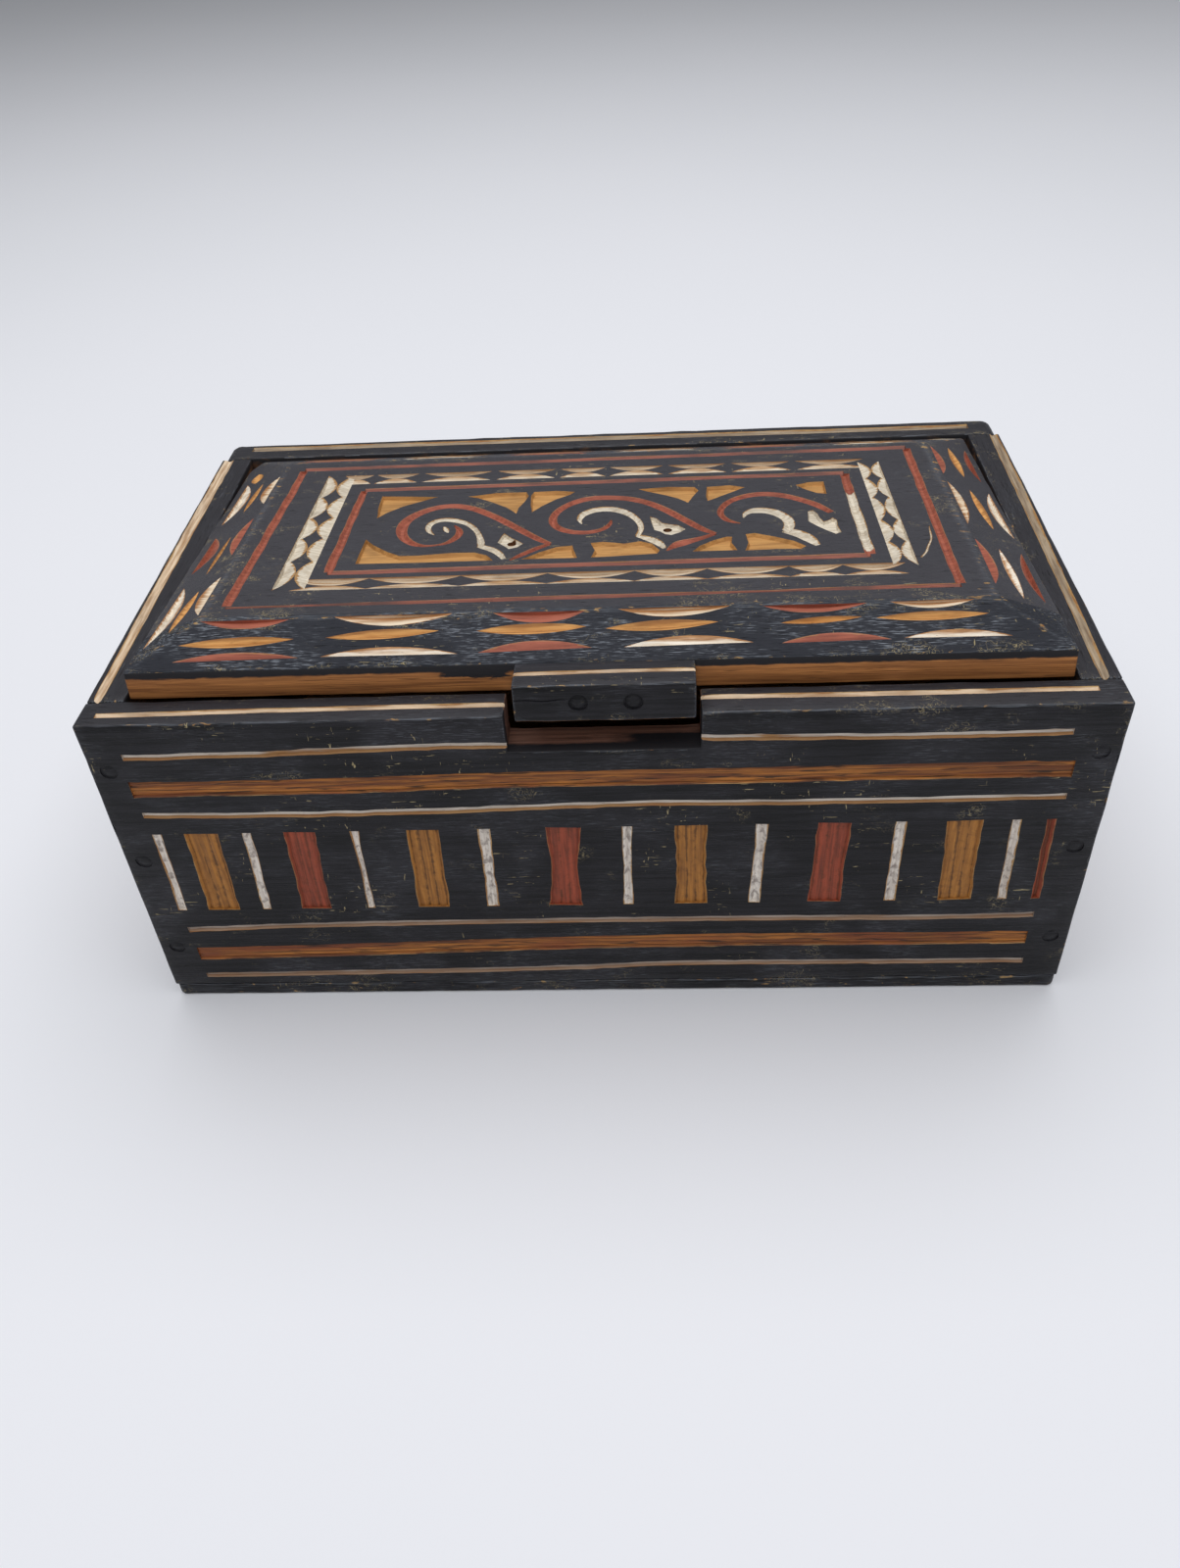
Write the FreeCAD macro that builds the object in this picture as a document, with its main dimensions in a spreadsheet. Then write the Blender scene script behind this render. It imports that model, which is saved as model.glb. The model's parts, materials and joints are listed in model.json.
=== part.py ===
"""Carved wooden puzzle box: a pegged board box with a lid that see-saws on two hidden pins.

Millimetres, +Z up, +X to the right, the front faces -Y. The origin is the centre of the underside.
The lid is modelled shut and then turned about its pins to the slightly open pose it rests in.
"""

import FreeCAD, Part
import math
import os
import Sketcher

Vector = FreeCAD.Vector
Rotation = FreeCAD.Rotation
Placement = FreeCAD.Placement

# Driving dimensions, in millimetres and degrees
SIZES = {
    "box_width": 200.0,
    "box_depth": 122.0,
    "rim_height": 79.0,
    "wall_thickness": 8.0,
    "base_thickness": 3.5,
    "base_corner_radius": 2.0,
    "edge_wear": 0.6,
    "back_corner_radius": 3.5,
    "notch_from_left": 83.5,
    "notch_width": 37.0,
    "notch_depth": 8.5,
    "corner_peg_diameter": 3.5,
    "corner_peg_bite": 14.0,
    "corner_peg_low": 16.5,
    "corner_peg_middle": 43.0,
    "corner_peg_high": 67.5,
    "blind_hole_spare": 1.0,
    "base_peg_diameter": 3.0,
    "base_peg_bite": 10.0,
    "base_peg_recess": 0.2,
    "base_peg_spacing": 70.0,
    "lid_side_gap": 0.7,
    "lid_front_gap": 0.5,
    "lid_back_gap": 1.0,
    "lid_edge_height": 6.4,
    "lid_bevel_inset": 12.5,
    "lid_bevel_rise": 4.5,
    "lid_worn_corner_radius": 11.0,
    "pivot_from_back_wall": 11.0,
    "pivot_below_rim": 3.2,
    "pivot_pin_diameter": 3.0,
    "pivot_pin_bite": 10.0,
    "pivot_running_gap": 0.05,
    "catch_from_notch_left": 1.8,
    "catch_width": 34.5,
    "catch_front_setback": 0.2,
    "catch_ledge_gap": 0.25,
    "catch_edge_wear": 0.5,
    "catch_peg_diameter": 3.4,
    "catch_peg_bite": 12.0,
    "catch_peg_above_lid_underside": 2.4,
    "catch_peg_left_offset": 12.4,
    "catch_peg_right_offset": 22.7,
    "ajar_angle": 3.65,
    "line_cut_width": 1.5,
    "line_cut_depth": 0.5,
    "band_cut_width": 4.0,
    "band_cut_depth": 0.45,
    "bar_cut_depth": 0.55,
    "bar_foot": 28.2,
    "bar_top": 50.6,
    "thin_bar_width": 2.1,
    "broad_bar_width": 6.8,
    "bar_end_inset": 10.0,
    "bar_spacing": 14.0,
    "leaf_cut_depth": 0.5,
    "leaf_swell": 3.3,
    "leaf_from_ridge": 0.4,
    "leaf_from_foot": 1.8,
    "strip_cut_depth": 0.45,
    "chip_gap": 1.0,
    "frame_cut_width": 1.6,
    "frame_cut_depth": 0.5,
    "ground_cut_depth": 0.8,
    "scroll_cut_width": 2.1,
    "scroll_cut_depth": 0.5,
}

# Carved rows of the front wall: where each starts and ends
FRONT_LINES = (
    ((-92.3, 71.0), (-15.5, 72.1)),
    ((19.5, 73.0), (90.0, 72.4)),
    ((-92.5, 55.5), (91.7, 56.6)),
    ((-92.0, 22.6), (91.3, 23.4)),
    ((-91.7, 7.0), (91.5, 9.2)),
)
FRONT_BANDS = (((-93.0, 62.7), (91.7, 63.7)), ((-91.7, 14.6), (91.0, 16.7)))
FRONT_BROAD_BARS = (-82.1, -61.7, -36.1, -7.5, 18.8, 47.1, 73.5)
FRONT_THIN_BARS = (-91.3, -72.5, -50.0, -23.4, 5.6, 32.5, 60.5, 83.5, 90.4)

# Heights of the carved rows on the other walls
LINE_HEIGHTS = (72.2, 56.2, 23.0, 8.4)
BAND_HEIGHTS = (63.2, 15.8)

# Leaves along the lid's bevels, start and end of each group, measured to the right of that bevel's middle
LEAF_GROUPS = {
    "front": ((-80.0, -57.7), (-52.0, -26.2), (-21.3, 0.4), (4.6, 28.9), (33.8, 56.0), (57.0, 77.6)),
    "right": ((-41.0, -17.0), (-14.0, 13.5), (16.0, 36.0)),
    "back": ((-78.0, -56.0), (-51.0, -28.0), (-23.0, 0.0), (5.0, 28.0), (33.0, 55.0), (58.5, 79.0)),
    "left": ((-33.0, -9.0), (-6.0, 15.5), (18.0, 42.0)),
}

# Strips of facing chips round the lid's panel: outer side, inner side and where the chips meet
LEVEL_STRIPS = (
    (-29.8, -24.4, (-62.5, -46.8, -27.6, -9.6, 8.3, 23.1, 39.7, 50.6, 63.0)),
    (30.4, 24.0, (-62.5, -43.5, -25.5, -10.2, 1.6, 15.4, 30.4, 45.5, 63.0)),
)
UPRIGHT_STRIPS = (
    (-66.4, -59.6, (-27.5, -15.8, -4.6, 6.0, 17.4, 29.0)),
    (65.7, 60.7, (-24.6, -14.6, -4.0, 7.7, 18.2, 27.0)),
)

# Corners of the two frames on the lid
FRAMES = (
    ((-73.5, -35.6), (71.8, -34.5), (73.4, 35.4), (-72.5, 34.0)),
    ((-55.5, -21.7), (56.2, -20.5), (56.6, 21.2), (-55.0, 20.3)),
)

# Scroll strokes, each an arc through three points: the long strokes, then the hooks that carry them on
SCROLL_STROKES = (
    ((-11.0, -10.0), (-21.2, 1.5), (-31.0, 9.7)),
    ((24.5, -7.4), (15.5, 4.0), (5.0, 11.6)),
    ((51.0, 1.0), (44.6, 8.3), (36.0, 11.3)),
    ((-37.5, -1.0), (-34.3, 3.0), (-28.8, 0.2)),
    ((-3.9, 0.5), (1.6, 6.0), (7.5, 2.2)),
    ((32.6, 1.0), (37.0, 2.7), (41.3, -1.8)),
)
SCROLL_HOOKS = (
    ((-31.0, 9.7), (-43.4, 0.5), (-38.0, -9.8)),
    ((5.0, 11.6), (-9.9, 2.0), (0.0, -5.2)),
    ((36.0, 11.3), (27.4, 3.0), (31.0, -3.4)),
    ((-28.8, 0.2), (-26.2, -5.0), (-25.0, -10.5)),
    ((7.5, 2.2), (9.5, -3.0), (8.9, -8.0)),
    ((41.3, -1.8), (41.8, -5.0), (40.7, -8.0)),
)

# Corners of the sunk grounds between the scrolls
GROUNDS = (
    ((-51.0, 17.0), (-50.4, 5.2), (-45.0, 11.0), (-37.5, 15.6)),
    ((-30.6, 15.4), (-24.4, 11.6), (-18.5, 5.0), (-16.5, 16.4)),
    ((-15.6, 16.0), (-15.0, 5.6), (-10.0, 12.0), (-5.8, 15.9)),
    ((-50.8, -5.8), (-51.0, -17.7), (-21.8, -18.0), (-26.0, -13.9), (-42.0, -14.5)),
    ((-15.6, -17.8), (-3.8, -17.9), (-5.0, -12.1), (-9.5, -13.0)),
    ((-1.0, -11.0), (-0.7, -17.8), (13.2, -17.0), (11.0, -11.6), (6.0, -11.7)),
    ((9.2, 16.4), (15.0, 12.6), (20.2, 8.2), (22.6, 16.2)),
    ((24.8, 16.4), (24.6, 8.8), (33.3, 15.6)),
    ((45.2, 15.8), (51.5, 10.5), (51.6, 17.2)),
    ((20.6, -16.4), (29.7, -16.5), (28.9, -10.2), (25.0, -11.5)),
    ((32.0, -9.2), (31.6, -16.7), (43.8, -16.4), (39.0, -11.0)),
    ((-20.1, -5.9), (-16.0, -10.8), (-18.0, -13.1), (-21.0, -9.8)),
    ((11.8, 1.4), (18.8, -6.0), (15.6, -8.5), (13.0, -6.6)),
    ((46.4, 1.1), (51.2, -6.4), (51.3, -10.8), (45.7, -5.4)),
)

# Expressions that several pieces share
HALF_WIDTH = "Sizes.box_width / 2"
HALF_DEPTH = "Sizes.box_depth / 2"
WALL_HEIGHT = "(Sizes.rim_height - Sizes.base_thickness)"
SIDE_LENGTH = "(Sizes.box_depth - 2 * Sizes.wall_thickness)"
CORNER_PEG_INSET = "Sizes.wall_thickness / 2"
CORNER_PEG_HEIGHTS = {level: f"Sizes.corner_peg_{level}" for level in ("low", "middle", "high")}
LID_WIDTH = "(Sizes.box_width - 2 * Sizes.wall_thickness - 2 * Sizes.lid_side_gap)"
LID_DEPTH = f"({SIDE_LENGTH} - Sizes.lid_front_gap - Sizes.lid_back_gap)"
LID_MIDDLE = f"({HALF_DEPTH} - Sizes.wall_thickness - Sizes.lid_front_gap)"
LID_CROWN = "(Sizes.lid_edge_height + Sizes.lid_bevel_rise)"
LID_PIVOT_ALONG = f"({LID_DEPTH} + Sizes.lid_back_gap - Sizes.pivot_from_back_wall)"
LID_PIVOT_UP = "(Sizes.lid_edge_height - Sizes.pivot_below_rim)"
CATCH_THICKNESS = "(Sizes.wall_thickness + Sizes.lid_front_gap - Sizes.catch_front_setback)"
CATCH_HEIGHT = "(Sizes.notch_depth - Sizes.catch_ledge_gap)"
CATCH_PEG_UP = f"({CATCH_HEIGHT} - Sizes.lid_edge_height + Sizes.catch_peg_above_lid_underside)"
CATCH_FROM_LEFT = "(Sizes.notch_from_left + Sizes.catch_from_notch_left)"
LID_FROM_LEFT = "(Sizes.wall_thickness + Sizes.lid_side_gap)"
CATCH_PEG_OFFSETS = {side: f"Sizes.catch_peg_{side}_offset" for side in ("left", "right")}

# Turns that lay a peg, which is made upright, along another direction
TOWARDS_BACK = Rotation(Vector(1, 0, 0), -90)
TOWARDS_FRONT = Rotation(Vector(1, 0, 0), 90)
TOWARDS_RIGHT = Rotation(Vector(0, 1, 0), 90)
TOWARDS_LEFT = Rotation(Vector(0, 1, 0), -90)
UPWARDS = Rotation()

# How far a strip's chip reaches towards the chips that face it, as a share of the strip
STRIP_CHIP_SHARE = 0.42

NEAR = 1e-6

doc = FreeCAD.newDocument("puzzle_box")
sheet = doc.addObject("Spreadsheet::Sheet", "Sizes")
pieces = []


def fill_sheet():
    """Writes the driving dimensions into the sheet, one named cell each."""
    for row, (alias, number) in enumerate(SIZES.items(), start=1):
        sheet.set(f"A{row}", alias)
        sheet.set(f"B{row}", str(number))
        sheet.setAlias(f"B{row}", alias)
    doc.recompute()


def size(alias):
    """A driving dimension as the sheet holds it."""
    return float(sheet.get(alias))


def bind(target, expressions):
    """Ties properties of a document object to the sheet."""
    for name, expression in expressions.items():
        target.setExpression(name, expression)


def place(piece, x, y, z, turn=UPWARDS):
    """Turns a piece and ties where it stands to the sheet."""
    piece.Placement = Placement(Vector(), turn)
    bind(piece, {"Placement.Base.x": x, "Placement.Base.y": y, "Placement.Base.z": z})


def new_body(label):
    """An empty body that becomes one board or block."""
    body = doc.addObject("PartDesign::Body", label)
    body.Label = label
    pieces.append(body)
    return body


def sketch_on(body, name, role, offset=None):
    """A sketch on one of the body's own origin planes, moved along the plane's normal by offset."""
    sketch = body.newObject("Sketcher::SketchObject", name)
    plane = next(f for f in body.Origin.OriginFeatures if f.Role == role)
    sketch.AttachmentSupport = [(plane, "")]
    sketch.MapMode = "FlatFace"
    if offset:
        sketch.setExpression("AttachmentOffset.Base.z", offset)
    return sketch


def fix(sketch, constraint, expression):
    """Adds a dimension to a sketch and ties it to the sheet."""
    index = sketch.addConstraint(constraint)
    sketch.setExpression(f"Constraints[{index}]", expression)


def draw_rectangle(sketch, width, height, left=None, bottom=None):
    """Draws a rectangle with its lower left corner on the origin, or left and bottom away from it."""
    corners = [Vector(1, 1), Vector(2, 1), Vector(2, 2), Vector(1, 2)]
    sides = [sketch.addGeometry(Part.LineSegment(corners[i], corners[(i + 1) % 4])) for i in range(4)]
    for i, side in enumerate(sides):
        sketch.addConstraint(Sketcher.Constraint("Coincident", side, 2, sides[(i + 1) % 4], 1))
        sketch.addConstraint(Sketcher.Constraint("Vertical" if i % 2 else "Horizontal", side))
    if left is None:
        sketch.addConstraint(Sketcher.Constraint("Coincident", sides[0], 1, -1, 1))
    else:
        fix(sketch, Sketcher.Constraint("DistanceX", -1, 1, sides[0], 1, 1.0), left)
        fix(sketch, Sketcher.Constraint("DistanceY", -1, 1, sides[0], 1, 1.0), bottom)
    fix(sketch, Sketcher.Constraint("DistanceX", sides[0], 1, sides[0], 2, 1.0), width)
    fix(sketch, Sketcher.Constraint("DistanceY", sides[1], 1, sides[1], 2, 1.0), height)


def draw_circle(sketch, x, y, diameter):
    """Draws a circle with its centre x and y away from the origin."""
    circle = sketch.addGeometry(Part.Circle(Vector(1, 1), Vector(0, 0, 1), 1))
    fix(sketch, Sketcher.Constraint("DistanceX", -1, 1, circle, 3, 1.0), x)
    fix(sketch, Sketcher.Constraint("DistanceY", -1, 1, circle, 3, 1.0), y)
    fix(sketch, Sketcher.Constraint("Diameter", circle, 2.0), diameter)


def draw_polygon(sketch, corners):
    """Draws straight lines from corner to corner and back to the first."""
    spots = [Vector(x, y) for x, y in corners]
    for here, there in zip(spots, spots[1:] + spots[:1]):
        sketch.addGeometry(Part.LineSegment(here, there))


def draw_leaf(sketch, tip, other, swells):
    """Draws a leaf between two tips. Each side is straight or swells to the left of the way between them."""
    start, end = Vector(*tip), Vector(*other)
    left = Vector(start.y - end.y, end.x - start.x).normalize()
    for swell in swells:
        crown = (start + end) / 2 + left * swell
        sketch.addGeometry(Part.Arc(start, crown, end) if swell else Part.LineSegment(start, end))


def draw_stroke(sketch, points, width):
    """Draws a stroke of even width along the arc through three points."""
    spots = [Vector(x, y) for x, y in points]
    centre = Part.Circle(*spots).Center
    outward = [(spot - centre).normalize() * (width / 2) for spot in spots]
    outer = [spot + out for spot, out in zip(spots, outward)]
    inner = [spot - out for spot, out in zip(spots, outward)]
    for side in (outer, inner):
        sketch.addGeometry(Part.Arc(*side))
    for end in (0, -1):
        sketch.addGeometry(Part.LineSegment(outer[end], inner[end]))


def pad(body, name, sketch, thickness, reverse=False):
    """Makes a sketch solid."""
    board = body.newObject("PartDesign::Pad", name)
    board.Profile = sketch
    board.Reversed = reverse
    board.setExpression("Length", thickness)
    doc.recompute()


def pocket(body, name, sketch, reverse, depth=None):
    """Cuts a sketch out of the body, right through it unless a depth is given."""
    volume_before = body.Shape.Volume
    cut = body.newObject("PartDesign::Pocket", name)
    cut.Profile = sketch
    cut.Reversed = reverse
    if depth:
        cut.setExpression("Length", depth)
    else:
        cut.Type = "ThroughAll"
    doc.recompute()
    if not body.Shape.Volume < volume_before - NEAR:
        raise ValueError(f"{body.Label}: {name} cuts nothing")


def round_edges(body, name, radius, wanted):
    """Rounds the edges of the body whose bounding box satisfies wanted."""
    base = body.Tip
    edges = [f"Edge{i}" for i, edge in enumerate(base.Shape.Edges, start=1) if wanted(edge.BoundBox)]
    fillet = body.newObject("PartDesign::Fillet", name)
    fillet.Base = (base, edges)
    fillet.setExpression("Radius", radius)
    doc.recompute()


def at(low, high, value):
    """Whether a stretch from low to high lies wholly at value."""
    return abs(low - value) < NEAR and abs(high - value) < NEAR


def peg(label, diameter, length):
    """A round wooden peg, upright on the origin."""
    shank = doc.addObject("Part::Cylinder", label)
    shank.Label = label
    bind(shank, {"Radius": f"{diameter} / 2", "Height": length})
    pieces.append(shank)
    return shank


def drill_corner_holes(body, name, x_places, reverse, offset=None, depth=None):
    """Drills the three peg holes of a corner at each of the x places, in a face that looks along Y."""
    holes = sketch_on(body, f"{name}_places", "XZ_Plane", offset)
    for x in x_places:
        for height in CORNER_PEG_HEIGHTS.values():
            draw_circle(holes, x, f"{height} - Sizes.base_thickness", "Sizes.corner_peg_diameter")
    pocket(body, name, holes, reverse, depth)


def base_peg_places():
    """Where the base pegs stand: three under each long wall and one under each side wall."""
    wall_middle = "Sizes.wall_thickness / 2"
    for wall, side in (("front", "-"), ("back", "")):
        for number, steps in enumerate((-1, 0, 1), start=1):
            y = f"{side}({HALF_DEPTH} - {wall_middle})"
            yield wall, f"base_peg_{wall}_{number}", f"{steps} * Sizes.base_peg_spacing", y
    for wall, side in (("left", "-"), ("right", "")):
        yield wall, f"base_peg_{wall}", f"{side}({HALF_WIDTH} - {wall_middle})", "0"


def drill_base_holes(body, wall, corner_x, corner_y):
    """Drills the blind holes for the base pegs in the underside of a wall."""
    holes = sketch_on(body, "base_peg_places", "XY_Plane")
    for peg_wall, _, x, y in base_peg_places():
        if peg_wall == wall:
            draw_circle(holes, f"{x} - ({corner_x})", f"{y} - ({corner_y})", "Sizes.base_peg_diameter")
    pocket(body, "base_peg_holes", holes, True, "Sizes.base_peg_bite + Sizes.blind_hole_spare")


def stripe(start, end, width):
    """Corners of a straight stripe from one point to another, with square ends."""
    here, there = Vector(*start), Vector(*end)
    side = Vector(here.y - there.y, there.x - here.x).normalize() * (width / 2)
    return [(spot.x, spot.y) for spot in (here - side, there - side, there + side, here + side)]


def upright_stripe(place, width):
    """Corners of an upright bar of a wall."""
    return stripe((place, size("bar_foot")), (place, size("bar_top")), width)


def carve_wall(body, role, middle, offset, reverse, lines, bands, bars):
    """Cuts lines, bands and upright bars into a wall's outside, placed from the box's middle and underside."""
    outlines = {
        "line": [stripe(*line, size("line_cut_width")) for line in lines],
        "band": [stripe(*band, size("band_cut_width")) for band in bands],
        "bar": [upright_stripe(place, size(f"{kind}_bar_width")) for kind in bars for place in bars[kind]],
    }
    for kind, shapes in outlines.items():
        sketch = sketch_on(body, f"{kind}_places", role, offset)
        bind(sketch, {"AttachmentOffset.Base.x": middle, "AttachmentOffset.Base.y": "-Sizes.base_thickness"})
        for shape in shapes:
            draw_polygon(sketch, shape)
        pocket(body, f"{kind}_cuts", sketch, reverse, f"Sizes.{kind}_cut_depth")


def even_carving(length):
    """Lines, bands and bars of a wall whose ornament is evenly spaced: broad and thin bars take turns."""
    reach = length / 2 - size("wall_thickness")
    lines = [((-reach, height), (reach, height)) for height in LINE_HEIGHTS]
    bands = [((-reach, height), (reach, height)) for height in BAND_HEIGHTS]
    last = 2 * round(reach / size("bar_spacing"))
    span = length - 2 * size("bar_end_inset")
    places = [(number / last - 0.5) * span for number in range(last + 1)]
    return lines, bands, {"thin": places[::2], "broad": places[1::2]}


def long_wall(label, y):
    """A board as wide as the box, with the peg holes of its two corners and of the base."""
    body = new_body(label)
    outline = sketch_on(body, "outline", "XZ_Plane")
    draw_rectangle(outline, "Sizes.box_width", WALL_HEIGHT)
    pad(body, "board", outline, "Sizes.wall_thickness", reverse=True)
    ends = (CORNER_PEG_INSET, f"Sizes.box_width - {CORNER_PEG_INSET}")
    drill_corner_holes(body, "corner_peg_holes", ends, reverse=False)
    drill_base_holes(body, label.split("_")[0], f"-{HALF_WIDTH}", y)
    place(body, f"-{HALF_WIDTH}", y, "Sizes.base_thickness")
    return body


def make_front_wall():
    """The front board, with the catch notch in its top edge and its outer edges worn."""
    body = long_wall("front_wall", f"-{HALF_DEPTH}")
    notch = sketch_on(body, "notch_outline", "XZ_Plane")
    bottom = f"{WALL_HEIGHT} - Sizes.notch_depth"
    draw_rectangle(notch, "Sizes.notch_width", "Sizes.notch_depth", "Sizes.notch_from_left", bottom)
    pocket(body, "catch_notch", notch, reverse=False)
    top = size("rim_height") - size("base_thickness")

    def outer(box):
        """The front face's upright ends and its top edge on both sides of the notch."""
        ends = at(box.XMin, box.XMax, 0) or at(box.XMin, box.XMax, size("box_width"))
        return at(box.YMin, box.YMax, 0) and (ends or at(box.ZMin, box.ZMax, top))

    round_edges(body, "worn_edges", "Sizes.edge_wear", outer)
    bars = {"thin": FRONT_THIN_BARS, "broad": FRONT_BROAD_BARS}
    carve_wall(body, "XZ_Plane", HALF_WIDTH, None, False, FRONT_LINES, FRONT_BANDS, bars)


def make_back_wall():
    """The back board, with its top corners worn round."""
    body = long_wall("back_wall", f"{HALF_DEPTH} - Sizes.wall_thickness")
    top = size("rim_height") - size("base_thickness")

    def top_corner(box):
        """The two short edges across the top corners."""
        ends = at(box.XMin, box.XMax, 0) or at(box.XMin, box.XMax, size("box_width"))
        return ends and at(box.ZMin, box.ZMax, top)

    round_edges(body, "worn_corners", "Sizes.back_corner_radius", top_corner)

    def outer(box):
        """The rim of the back face, apart from its lower edge and the peg holes."""
        on_back = at(box.YMin, box.YMax, size("wall_thickness"))
        return on_back and box.ZMax > top - size("back_corner_radius") - NEAR

    round_edges(body, "worn_edges", "Sizes.edge_wear", outer)
    carving = even_carving(size("box_width"))
    carve_wall(body, "XZ_Plane", HALF_WIDTH, "-Sizes.wall_thickness", True, *carving)


def make_side_wall(label, x, outer_x):
    """A short board between the long walls, with a through bore for the lid's pin near its top."""
    body = new_body(label)
    corner_y = f"Sizes.wall_thickness - {HALF_DEPTH}"
    outline = sketch_on(body, "outline", "YZ_Plane")
    draw_rectangle(outline, SIDE_LENGTH, WALL_HEIGHT)
    pad(body, "board", outline, "Sizes.wall_thickness")
    depth = "Sizes.corner_peg_bite + Sizes.blind_hole_spare"
    middle = (CORNER_PEG_INSET,)
    drill_corner_holes(body, "front_peg_holes", middle, reverse=False, depth=depth)
    drill_corner_holes(body, "back_peg_holes", middle, reverse=True, offset=f"-{SIDE_LENGTH}", depth=depth)
    drill_base_holes(body, label.split("_")[0], x, corner_y)
    bore = sketch_on(body, "pivot_place", "YZ_Plane")
    along = f"{SIDE_LENGTH} - Sizes.pivot_from_back_wall"
    draw_circle(bore, along, f"{WALL_HEIGHT} - Sizes.pivot_below_rim", "Sizes.pivot_pin_diameter")
    pocket(body, "pivot_bore", bore, reverse=True)
    top = size("rim_height") - size("base_thickness")

    def outer(box):
        """The long outer edge of the rim."""
        return at(box.XMin, box.XMax, outer_x) and at(box.ZMin, box.ZMax, top)

    round_edges(body, "worn_edge", "Sizes.edge_wear", outer)
    outside = "Sizes.wall_thickness" if outer_x else None
    carving = even_carving(size("box_depth") - size("wall_thickness"))
    carve_wall(body, "YZ_Plane", f"{SIDE_LENGTH} / 2", outside, not outer_x, *carving)
    place(body, x, corner_y, "Sizes.base_thickness")


def make_base_board():
    """The thin board under the walls, with rounded corners and the holes for its pegs."""
    body = new_body("base_board")
    outline = sketch_on(body, "outline", "XY_Plane")
    draw_rectangle(outline, "Sizes.box_width", "Sizes.box_depth")
    pad(body, "board", outline, "Sizes.base_thickness")
    holes = sketch_on(body, "peg_places", "XY_Plane")
    for _, _, x, y in base_peg_places():
        draw_circle(holes, f"{x} + {HALF_WIDTH}", f"{y} + {HALF_DEPTH}", "Sizes.base_peg_diameter")
    pocket(body, "peg_holes", holes, reverse=True)

    def corner(box):
        """The four upright corner edges."""
        ends = at(box.XMin, box.XMax, 0) or at(box.XMin, box.XMax, size("box_width"))
        sides = at(box.YMin, box.YMax, 0) or at(box.YMin, box.YMax, size("box_depth"))
        return ends and sides

    round_edges(body, "worn_corners", "Sizes.base_corner_radius", corner)
    place(body, f"-{HALF_WIDTH}", f"-{HALF_DEPTH}", "0")


def make_box_pegs():
    """The pegs that hold the box together and the two pins that the lid turns on."""
    length = "Sizes.wall_thickness + Sizes.corner_peg_bite"
    walls = {"front": (f"-{HALF_DEPTH}", TOWARDS_BACK), "back": (HALF_DEPTH, TOWARDS_FRONT)}
    sides = {"left": "-", "right": ""}
    for wall, (y, turn) in walls.items():
        for side, sign in sides.items():
            x = f"{sign}({HALF_WIDTH} - {CORNER_PEG_INSET})"
            for level, z in CORNER_PEG_HEIGHTS.items():
                shank = peg(f"corner_peg_{wall}_{side}_{level}", "Sizes.corner_peg_diameter", length)
                place(shank, x, y, z, turn)
    base_length = "Sizes.base_thickness + Sizes.base_peg_bite - Sizes.base_peg_recess"
    for _, label, x, y in base_peg_places():
        place(peg(label, "Sizes.base_peg_diameter", base_length), x, y, "Sizes.base_peg_recess")
    pin_length = "Sizes.wall_thickness + Sizes.lid_side_gap + Sizes.pivot_pin_bite"
    pin_y = f"{HALF_DEPTH} - Sizes.wall_thickness - Sizes.pivot_from_back_wall"
    pin_z = "Sizes.rim_height - Sizes.pivot_below_rim"
    for side, turn in (("left", TOWARDS_RIGHT), ("right", TOWARDS_LEFT)):
        pin = peg(f"pivot_pin_{side}", "Sizes.pivot_pin_diameter", pin_length)
        place(pin, f"{sides[side]}{HALF_WIDTH}", pin_y, pin_z, turn)


def ajar(corner, turn=UPWARDS):
    """Where a piece of the lid stands when the lid is turned to its resting pose about the pins."""
    pivot_y = size("box_depth") / 2 - size("wall_thickness") - size("pivot_from_back_wall")
    pivot = Vector(0, pivot_y, size("rim_height") - size("pivot_below_rim"))
    swing = Rotation(Vector(-1, 0, 0), size("ajar_angle"))
    return Placement(pivot, swing) * Placement(corner - pivot, turn)


def lid_sketch(body, name, x=f"{LID_WIDTH} / 2", y=LID_MIDDLE, turn=0.0, lean=0.0):
    """A sketch at the lid's crown, its origin x and y from the lid's corner, turned and then leant forward."""
    sketch = sketch_on(body, name, "XY_Plane")
    attitude = Rotation(Vector(0, 0, 1), turn) * Rotation(Vector(1, 0, 0), lean)
    sketch.AttachmentOffset = Placement(Vector(), attitude)
    bind(sketch, {f"AttachmentOffset.Base.{axis}": place for axis, place in zip("xyz", (x, y, LID_CROWN))})
    return sketch


def carve_leaves(body):
    """Cuts the leaves into the four bevels: half leaves at ridge and foot, a whole one between."""
    inset = "Sizes.lid_bevel_inset"
    lean = math.degrees(math.atan2(size("lid_bevel_rise"), size("lid_bevel_inset")))
    swell = size("leaf_swell")
    ridge = -size("leaf_from_ridge")
    foot = size("leaf_from_foot") - math.hypot(size("lid_bevel_rise"), size("lid_bevel_inset"))
    middle = (ridge + foot) / 2
    ridges = {
        "front": (f"{LID_WIDTH} / 2", inset, 0.0),
        "right": (f"{LID_WIDTH} - {inset}", LID_MIDDLE, 90.0),
        "back": (f"{LID_WIDTH} / 2", f"{LID_DEPTH} - {inset}", 180.0),
        "left": (inset, LID_MIDDLE, 270.0),
    }
    for side, (x, y, turn) in ridges.items():
        leaves = lid_sketch(body, f"leaf_places_{side}", x, y, turn, lean)
        for start, end in LEAF_GROUPS[side]:
            draw_leaf(leaves, (start, ridge), (end, ridge), (0, -swell))
            draw_leaf(leaves, (start, middle), (end, middle), (swell / 2, -swell / 2))
            draw_leaf(leaves, (start, foot), (end, foot), (0, swell))
        pocket(body, f"leaf_cuts_{side}", leaves, False, "Sizes.leaf_cut_depth")


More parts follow.
